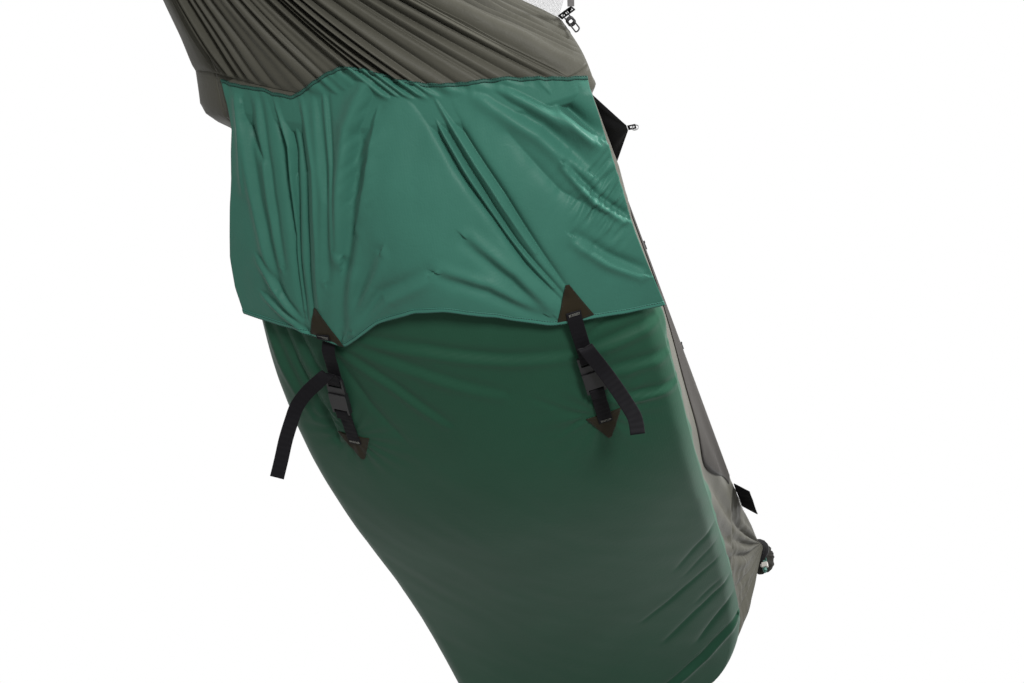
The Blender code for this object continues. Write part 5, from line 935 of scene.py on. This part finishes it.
# Moulded and metal pieces. The buckles, caps, sliders, locks, rings and links keep their
# CAD shapes. Their finishes are acetal in black, grey and pale, brushed alloy, and green.
def moulded(name, colour, rough, metal=0.0, grain=0.00008, scale=900.0, wear=0.25):
    """A hard finish with a fine grain, an uneven gloss and faintly rubbed colour."""
    made, shader, tree = material(name, Metallic=metal, Specular_IOR_Level=0.45)
    place = add(tree, "TexCoord").outputs["Object"]
    speck = add(tree, "TexNoise", Vector=place, Scale=scale, Detail=3.0, Roughness=0.6)
    bump = add(tree, "Bump", Height=speck.outputs["Fac"], Strength=0.5, Distance=grain)
    rub = add(tree, "TexNoise", Vector=place, Scale=60.0, Detail=5.0, Roughness=0.65).outputs["Fac"]
    span = add(tree, "MapRange", Value=rub, To_Min=rough - 0.10, To_Max=rough + 0.12)
    sets(shader, Normal=bump.outputs[0], Roughness=span.outputs["Result"],
         Base_Color=tinted(tree, colour, wear, rub))
    return made


acetal_black = moulded("acetal_black", (0.0110, 0.0105, 0.0120), 0.42)
acetal_grey = moulded("acetal_grey", (0.30, 0.29, 0.29), 0.45)
acetal_pale = moulded("acetal_pale", (0.55, 0.53, 0.49), 0.45)
alloy_brushed = moulded("alloy_brushed", (0.46, 0.46, 0.47), 0.34, metal=1.0, grain=0.00004, scale=1500.0,
                        wear=0.1)
bead_green = moulded("bead_green", (0.05, 0.16, 0.13), 0.48)
for finish, names in (
        (acetal_black, ("left_buckle_male", "left_buckle_female", "right_buckle_male", "right_buckle_female",
                        "head_cap", "foot_cap", "head_zip_slider", "foot_zip_slider", "head_zip_pull",
                        "foot_zip_pull", "lead_knob")),
        (acetal_grey, ("guy_tensioner",)), (acetal_pale, ("cord_lock", "cord_lock_button")),
        (alloy_brushed, ("head_link", "foot_link", "head_link_collar", "foot_link_collar",
                         "left_tie_ring", "wing_ring")), (bead_green, ("drawcord_bead",))):
    for node_name in names:
        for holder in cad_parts[node_name].material_slots:
            holder.material = finish


# Bights and ridge line. Black braided cord: a 6 mm loop through each cap, and a 3 mm
# line from cap to cap under the nets' top edge, its ends turned back over the flanges.
def cord_finish(name, colour, pitch):
    """Braid: small rounded strand bumps, with painted highlight along each strand top and painted shade in
    the grooves between.
    """
    made, shader, tree = material(name, Roughness=0.6, Sheen_Weight=0.15, Specular_IOR_Level=0.3)
    place = add(tree, "TexCoord").outputs["Object"]
    strand_relief_and_shade = add(tree, "TexVoronoi", Vector=place, Scale=1.0 / pitch, Randomness=0.35).outputs["Distance"]
    bump = add(tree, "Bump", invert=True, Height=strand_relief_and_shade, Strength=0.6, Distance=0.0004)
    # The colour follows the strand relief: painted highlight on the tops, painted shade in the grooves.
    sets(shader, Base_Color=tinted(tree, colour, -0.5, strand_relief_and_shade), Normal=bump.outputs[0])
    return made


def corded(name, points, thickness, finish, closed=False):
    """A round cord: one spline along a list of points."""
    curve = bpy.data.curves.new(name, "CURVE")
    curve.dimensions = "3D"
    curve.bevel_depth = thickness * 0.5
    curve.bevel_resolution = 4
    curve.use_fill_caps = not closed
    line = curve.splines.new("POLY")
    line.points.add(len(points) - 1)
    for target, point in zip(line.points, points):
        target.co = (*point, 1.0)
    line.use_cyclic_u = closed
    curve.materials.append(finish)
    made = bpy.data.objects.new(name, curve)
    bpy.context.scene.collection.objects.link(made)
    return made


def stadium(frame_of, first, last, half_width, opened=0.0, steps=12):
    """A narrow loop in the frame's X-Y plane with round ends, from its near end and back to
    it; opened, in radians, is left between its two ends."""
    quarter = math.pi / 2.0
    places = []
    for centre, begin, sweep in ((first, math.pi + opened, quarter - opened), (last, -quarter, math.pi),
                                 (first, quarter, quarter - opened)):
        for step in range(steps + 1):
            angle = begin + sweep * step / steps
            places.append(Vector((centre + half_width * math.cos(angle), half_width * math.sin(angle), 0.0)))
    return [frame_of @ place for place in places]


braid_black = cord_finish("braid_black", (0.013, 0.013, 0.015), 0.0009)
cap_thick, line_half, line_clear = 0.006, 0.0015, 0.0005
ridge_z, rim = 0.031, 0.036 + line_half + line_clear
for end_name, end_side in (("head", -1.0), ("foot", 1.0)):
    end_of = matrix_at(Vector((end_side * gather_x, 0.0, 0.0)), Vector((end_side, 0.0, 0.0)),
                       Vector((0.0, 0.0, 1.0)))
    bight_half, bight_thick, bight_reach = 0.0105, 0.006, 0.038
    loop_path = stadium(end_of, -0.0095, bight_reach - bight_thick / 2.0 - bight_half, bight_half)
    loop = corded(end_name + "_loop", loop_path[:-1], bight_thick, braid_black, True)
    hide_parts(end_name + "_bight")
    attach(loop, "hammock")
face_x = gather_x + cap_thick + line_half + line_clear
ridge_half = [(gather_x * share, ridge_z) for share in (0.1, 0.3, 0.5, 0.7, 0.9, 0.99)]
ridge_half += [(face_x - 0.0015, ridge_z), (face_x + 0.0018, ridge_z + 0.0004),
               (face_x + 0.003, ridge_z + 0.0015), (face_x + 0.003, rim), (face_x + 0.0022, rim + 0.0022),
               (face_x, rim + 0.003), (face_x - 0.003, rim + 0.003), (face_x - 0.030, rim + 0.003)]
ridge = corded("ridge_cord", [Vector((-x, 0.0, z)) for x, z in reversed(ridge_half)]
               + [Vector((x, 0.0, z)) for x, z in ridge_half], 0.003, braid_black)
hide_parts("ridge_line")
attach(ridge, "hammock")


# Net canopy. Fine black knitted net hung from the ridge line down to both hems: one
# panel on the left, one by the head on the right, and the door behind its zip.
knitted, net_shader, net_tree = material("knitted_net", Base_Color=(0.012, 0.012, 0.013, 1.0), Roughness=0.75,
                                         Specular_IOR_Level=0.2)
net_threads = add(net_tree, "TexVoronoi", feature="DISTANCE_TO_EDGE",
                  Vector=add(net_tree, "TexCoord").outputs["UV"], Scale=1.0 / 0.0016, Randomness=0.25)
net_cut = add(net_tree, "Math", net_threads.outputs["Distance"], 0.072, operation="LESS_THAN")
sets(net_shader, Alpha=net_cut.outputs[0])


def gather_end(end, turn):
    wrap_turn = bundle_wrap * turn
    return np.array((end * bundle_x, 0.022 * math.sin(wrap_turn), -0.022 * math.cos(wrap_turn)))


def hem_at(which, x):
    """A hem's place at a distance along the line."""
    entry = hem_point(which, hem_entry)
    inner = [entry, tie_corner[1]] if which > 0 else [tie_corner[-1], entry]
    route = [gather_end(-1.0, which)] + inner + [gather_end(1.0, which)]
    xs = [place[0] for place in route]
    return np.array([np.interp(x, xs, [place[axis] for place in route]) for axis in range(3)])


def net_panel(name, which, feet_x, heads_x, peak=None):
    """A sheet of net between the hem and the ridge line, slack between them."""
    rows = 31
    feet = np.array([hem_at(which, x) + np.array((0.0, -which * 0.0008, 0.0020)) for x in feet_x])
    heads = np.array([(x, which * 0.0008, 0.0286) for x in heads_x])
    share = np.linspace(0.0, 1.0, rows)[None, :, None]
    grid = feet[:, None] * (1.0 - share) + heads[:, None] * share
    grid[..., 2] -= 0.016 * np.sin(math.pi * share[..., 0])
    if peak is not None:
        pull = np.array(peak) - (feet[-1] * 0.75 + heads[-1] * 0.25)
        tent = np.where(share <= 0.25, share / 0.25, (1.0 - share) / 0.75)
        grid += pull * tent * (np.linspace(0.0, 1.0, len(feet)) ** 2)[:, None, None]
    far = np.repeat(np.array(feet_x)[:, None], rows, 1)
    up = np.repeat(np.linspace(0.0, 0.5, rows)[None], len(feet), 0)
    slack = np.sin(math.pi * share[..., 0]) * 0.004 * ripple(far, up, 0.13, 51.0 + which, 1.0)
    slack = slack * np.sin(math.pi * np.linspace(0.0, 1.0, len(feet)))[:, None] ** 0.3
    grid = grid + grid_normals(grid) * slack[..., None]
    panel = cloth(name, grid, np.stack((far, up), -1), knitted, thick=0.0)
    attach(panel, "hammock")
    return panel


net_end = 1.250
left_feet = np.linspace(-net_end, net_end, 110)
left_net = net_panel("left_net", 1, left_feet, left_feet)
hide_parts("net_left")
head_net = net_panel("head_net", -1, np.linspace(-net_end, -0.790, 40), np.linspace(-net_end, -0.800, 40),
                     peak=(-0.800, -0.497, -0.087))
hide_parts("net_head_right")
door_first, door_bend, door_last = -0.2764, 0.9006, 1.1574
door_end = np.linspace(door_bend, door_last, 16)[1:]
door_feet = np.concatenate((np.linspace(door_first, door_bend, 70), door_end))
door_heads = np.concatenate((np.linspace(-0.740, door_bend, 70), door_end))
door_net = net_panel("door_net", -1, door_feet, door_heads)
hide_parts("net_door")


# Door zip. A black polyester tape sewn along the right hem with a nylon coil of small
# close turns; both sliders ride on the coil and keep their CAD shapes.
right_tie = Vector(tie_corner[-1])
hem_run = Vector((gather_x, 0.0, 0.0)) - right_tie
hem_way, hem_length = hem_run.normalized(), hem_run.length
lean_out = Vector((0.0, -math.sin(math.radians(45.0)), math.cos(math.radians(45.0))))
zip_of = matrix_at(Vector(hem_at(-1, door_first)) + Vector((0.0, 0.0008, 0.0020)), hem_way, lean_out)
zip_of = zip_of @ Matrix.Translation(Vector((0.0, 0.0, 0.0004)))
zip_run = hem_length * (0.76 - 0.22)
tape_middle = 0.009
zip_side = zip_of.to_3x3() @ Vector((0.0, 1.0, 0.0))
tape_places = [zip_of @ Vector((zip_run * step / 240, tape_middle, 0.0006)) for step in range(241)]
tape = strapping("zip_tape_band", tape_places, [zip_side] * 241, 0.016, 0.0012, webbing_black, rib=5)
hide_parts("zip_tape")
outline = ((-0.0026, 0.0), (-0.0028, 0.0007), (-0.0018, 0.0013), (0.0, 0.0015), (0.0018, 0.0013),
           (0.0028, 0.0007), (0.0026, 0.0))
rings, sides = 2 * int(zip_run / 0.0022), len(outline)
coil_points = [zip_of @ Vector((zip_run * ring / (rings - 1), tape_middle + a * (0.7 + 0.3 * deep),
                                0.0012 + 0.0019 + b * (0.55 + 0.45 * deep)))
               for ring in range(rings) for deep in (0.35 if ring % 2 else 1.0,) for a, b in outline]
coil_faces = []
for ring in range(rings - 1):
    base = ring * sides
    coil_faces += [(base + part, base + (part + 1) % sides, base + sides + (part + 1) % sides,
                    base + sides + part) for part in range(sides)]
coil_faces += [tuple(range(sides)), tuple((rings - 1) * sides + part for part in range(sides))]
coil = mesh_object("zip_coil", coil_points, coil_faces, acetal_black, turned=True, smooth=False)
neck_places = [zip_of @ Vector((zip_run * step / 60, tape_middle, 0.0020)) for step in range(61)]
neck = strapping("zip_coil_cord", neck_places, [zip_side] * 61, 0.0018, 0.0022, webbing_black, rib=3)
for piece in (tape, coil, neck):
    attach(piece, "hammock")


# Door corner. The loose lower corner of the net door, bound in black, hangs out over the
# hem as a small wing with a ring tab at its tip.
wing_cloth = woven("wing_black_cloth", (0.012, 0.012, 0.013), 0.7, thread=0.0009, crinkle=0.3)


def right_hem(share):
    return Vector(hem_at(-1, -0.790 + 2.140 * share))


wing_lift = Vector((0.0, -0.0006, 0.0003))
wing_first, wing_last = right_hem(0.080) + wing_lift, right_hem(0.180) + wing_lift
wing_apex = right_hem(0.130) + Vector((0.0, -0.051, -0.020))
wing_tip = (wing_last - wing_first).normalized() * 0.007
wing_rows, wing_columns = 36, 60
wing_grid = np.zeros((wing_rows, wing_columns, 3))
for row, column in np.ndindex(wing_rows, wing_columns):
    share, over = row / (wing_rows - 1), column / (wing_columns - 1)
    a, b = wing_first.lerp(wing_apex - wing_tip, share), wing_last.lerp(wing_apex + wing_tip, share)
    deep = 0.5 * 0.008 * math.sin(math.pi * share) * math.sin(math.pi * over)
    deep += 0.0016 * math.sin(over * 19.0) * math.sin(math.pi * share) ** 0.5 * (1.0 - 0.6 * share)
    wing_grid[row, column] = a.lerp(b, over) - Vector((0.0, 0.0, deep))
wing_map = np.stack(np.meshgrid(np.linspace(0.0, 0.22, wing_columns), np.linspace(0.0, 0.055, wing_rows)), -1)
wing = cloth("door_corner", wing_grid, wing_map, wing_cloth, 0.0012)
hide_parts("door_wing")
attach(wing, "hammock")


# Tie-out tabs and the corner patch. Folded black webbing with punched eyes at each
# tie-out and at the door corner, and a reinforcing patch on the wall by the right one.
tab_finish = woven("tab_webbing", (0.0065, 0.0060, 0.0070), 0.65, thread=0.0012, crinkle=0.1)
for tab_name in ("right_tie_tab", "left_tie_tab", "wing_tab"):
    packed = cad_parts[tab_name]
    copy = packed.data.copy()
    copy.name = tab_name + "_folded"
    copy.materials.clear()
    copy.materials.append(tab_finish)
    tab = bpy.data.objects.new(tab_name + "_folded", copy)
    tab.matrix_world = packed.matrix_world
    bpy.context.scene.collection.objects.link(tab)
    tab_shape = bmesh.new()
    tab_shape.from_mesh(copy)
    bmesh.ops.remove_doubles(tab_shape, verts=tab_shape.verts, dist=0.00001)
    bmesh.ops.dissolve_limit(tab_shape, angle_limit=0.02, verts=tab_shape.verts, edges=tab_shape.edges)
    tab_shape.to_mesh(copy)
    tab_shape.free()
    round_off = tab.modifiers.new("soft_edges", "BEVEL")
    round_off.width = 0.0005
    round_off.segments = 3
    round_off.limit_method = "ANGLE"
    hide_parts(tab_name)
    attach(tab, "hammock")

bed_tree = surface_of(bed)
corner_rows, corner_columns = 14, 18
corner_grid = np.array([body_row(middle, np.linspace(-2.0, -1.76, corner_columns))
                        for middle in np.linspace(-0.918, -0.884, corner_rows)])
for spot in np.ndindex(corner_rows, corner_columns):
    near, facing_out = bed_tree.find_nearest(Vector(corner_grid[spot]))[:2]
    facing_out = facing_out if facing_out.y < 0.0 else -facing_out
    corner_grid[spot] = near + facing_out * 0.0016
corner_map = np.stack(np.meshgrid(np.linspace(0.0, 0.10, corner_columns),
                                  np.linspace(0.0, 0.05, corner_rows)), -1)
corner = cloth("corner_reinforcement", corner_grid, corner_map, tab_finish, 0.0012)
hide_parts("corner_patch")
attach(corner, "hammock")


# Guy line and its tensioner. A doubled 2.4 mm black cord round the right tab's end bar
# runs out toward the head through a grey two-hole tensioner.
tab_way = Vector((-0.257, -0.966, 0.0)).normalized()
guy_way = Vector((-0.894, -0.447, 0.0)).normalized()
tab_of = matrix_at(right_tie + tab_way * 0.0012, tab_way, Vector((0.0, 0.0, 1.0)))
eye_wide, bar_wide, bar_thick, guy_thick = 0.0056, 0.0030, 0.0024, 0.0024
steps = np.cumsum([0.0, 0.0040, eye_wide, bar_wide, eye_wide, bar_wide, eye_wide, bar_thick])
guy_of = matrix_at(tab_of @ Vector(((steps[5] + steps[6]) / 2.0, 0.0, 0.0)), guy_way, Vector((0.0, 0.0, 1.0)))
strand = (bar_thick + guy_thick) / 2.0 + 0.0004
guy_points = stadium(guy_of @ Matrix.Rotation(math.radians(90.0), 4, "X"), strand, 0.090, strand, opened=0.52)
guy = corded("guy_cord", guy_points, guy_thick, braid_black)
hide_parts("guy_line")
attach(guy, "hammock")


# Lead cord. A short loop of the same cord through the tab's first two eyes hangs down
# the wall, drawn together by a round black knob.
lead_half = (bar_wide + eye_wide) / 2.0
lead_way = tab_way * 0.400 - Vector((0.0, 0.0, 0.917))
lead_of = matrix_at(tab_of @ Vector(((steps[2] + steps[3]) / 2.0, 0.0, 0.0)), lead_way,
                    tab_way.cross(Vector((0.0, 0.0, 1.0))))
lead_top = lead_half - strand - 0.0012
lead_points = stadium(lead_of, lead_top, lead_top + 0.062, lead_half, opened=0.34)
lead = corded("lead_loop", lead_points, guy_thick, braid_black)
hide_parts("lead_cord")
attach(lead, "hammock")


# Foot webbing strip. A 50 mm strip of black webbing sewn along the right hem near the
# foot gather, where it hangs outward over the fan.
strip_lean = math.radians(52.0)
strip_way = Vector((0.0, -math.sin(strip_lean), -math.cos(strip_lean)))
strip_start = right_hem(1.0 - 0.165) + strip_way * 0.0024
strip_places = [strip_start + hem_way * (0.140 * (step / 40 - 0.5)) + strip_way * 0.025
                + Vector((0.0, 0.0, -0.0012 * math.sin(step / 40 * math.pi * 3.0))) for step in range(41)]
strip = strapping("foot_strip", strip_places, [strip_way] * 41, 0.050, 0.0024, webbing_black)
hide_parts("foot_webbing_tab")
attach(strip, "hammock")


# Storage sleeve. A tube of thin dark cloth pushed back over the foot suspension, bunched
# in soft rolls, with its near mouth drawn shut by the green cord.
sack_cloth = woven("sack_dark_cloth", (0.020, 0.019, 0.016), 0.6, crinkle=0.45)
sack_rows, sack_sides, sack_neck = 60, 181, 0.0225
sack_along = [0.0, 0.0062] + [0.0062 + 0.0518 * share for share in (0.12, 0.35, 0.60, 0.82, 1.0)]
sack_wide = [sack_neck, sack_neck] + [0.0200 + 0.0130 * full for full in (0.75, 1.0, 0.95, 0.60, 0.0)]
along_sack = np.linspace(0.0, 0.058, sack_rows)
turn_sack = np.linspace(0.0, 2.0 * math.pi, sack_sides)
wide_sack = smoothed(np.interp(along_sack, sack_along, sack_wide), 9)
full_sack = np.clip((wide_sack - sack_neck) / 0.0105, 0.0, 1.0)[:, None]
below_sack = np.clip(-np.sin(turn_sack), 0.0, 1.0)[None, :] ** 2
twist = turn_sack[None, :] + along_sack[:, None] * 9.0
folds = np.cos(7.0 * twist) * 0.05 + 0.035 * np.cos(13.0 * twist + 1.0) + 0.02 * np.cos(23.0 * twist + 2.0)
rolls = 0.035 * np.sin(along_sack[:, None] * 400.0 + 1.5 * np.sin(twist))
sack_radius = wide_sack[:, None] * (1.0 + full_sack * (0.75 * below_sack + folds + rolls))
sack_start = gather_x + cap_thick + 0.0010
sack_grid = np.stack((sack_start + np.repeat(along_sack[:, None], sack_sides, 1),
                      sack_radius * np.cos(turn_sack), sack_radius * np.sin(turn_sack)), -1)
sack_map = np.stack(np.meshgrid(along_sack, turn_sack * 0.03, indexing="ij"), -1)
sack = cloth("bunched_sleeve", sack_grid, sack_map, sack_cloth, 0.0012)
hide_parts("storage_sleeve")
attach(sack, "hammock")


# Sleeve drawcord. A 2.8 mm green cord goes round the sleeve's neck, and both its ends
# hang as a loop through the pale spring toggle and the green bead.
braid_green = cord_finish("braid_green", (0.05, 0.16, 0.13), 0.0009)
draw_thick = 0.0028
draw_x = sack_start + 0.0031
draw_radius = sack_neck + draw_thick / 2.0 + 0.0004
lock_x, low_z = gather_x - 0.0020, -0.036 - draw_thick
draw_ring = [Vector((draw_x, draw_radius * math.cos(angle), draw_radius * math.sin(angle)))
             for angle in np.radians(np.linspace(-122.0, 215.0, 60))]
draw_out = [Vector((draw_x, -0.0185 - 0.0034, low_z)), Vector((lock_x, -0.0202, -0.0390)),
            Vector((lock_x, -0.0202, -0.0530)), Vector((lock_x, -0.0202, -0.0760))]
draw_back = [Vector((lock_x, -0.0185, -0.0777)), Vector((lock_x, -0.0168, -0.0760)),
             Vector((lock_x, -0.0168, -0.0530)), Vector((lock_x, -0.0168, -0.0390)),
             Vector((draw_x, -0.0168, low_z))]
draw_points = draw_ring + draw_out + draw_back
draw = corded("green_drawcord", draw_points, draw_thick, braid_green)
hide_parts("sleeve_drawcord")
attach(draw, "hammock")
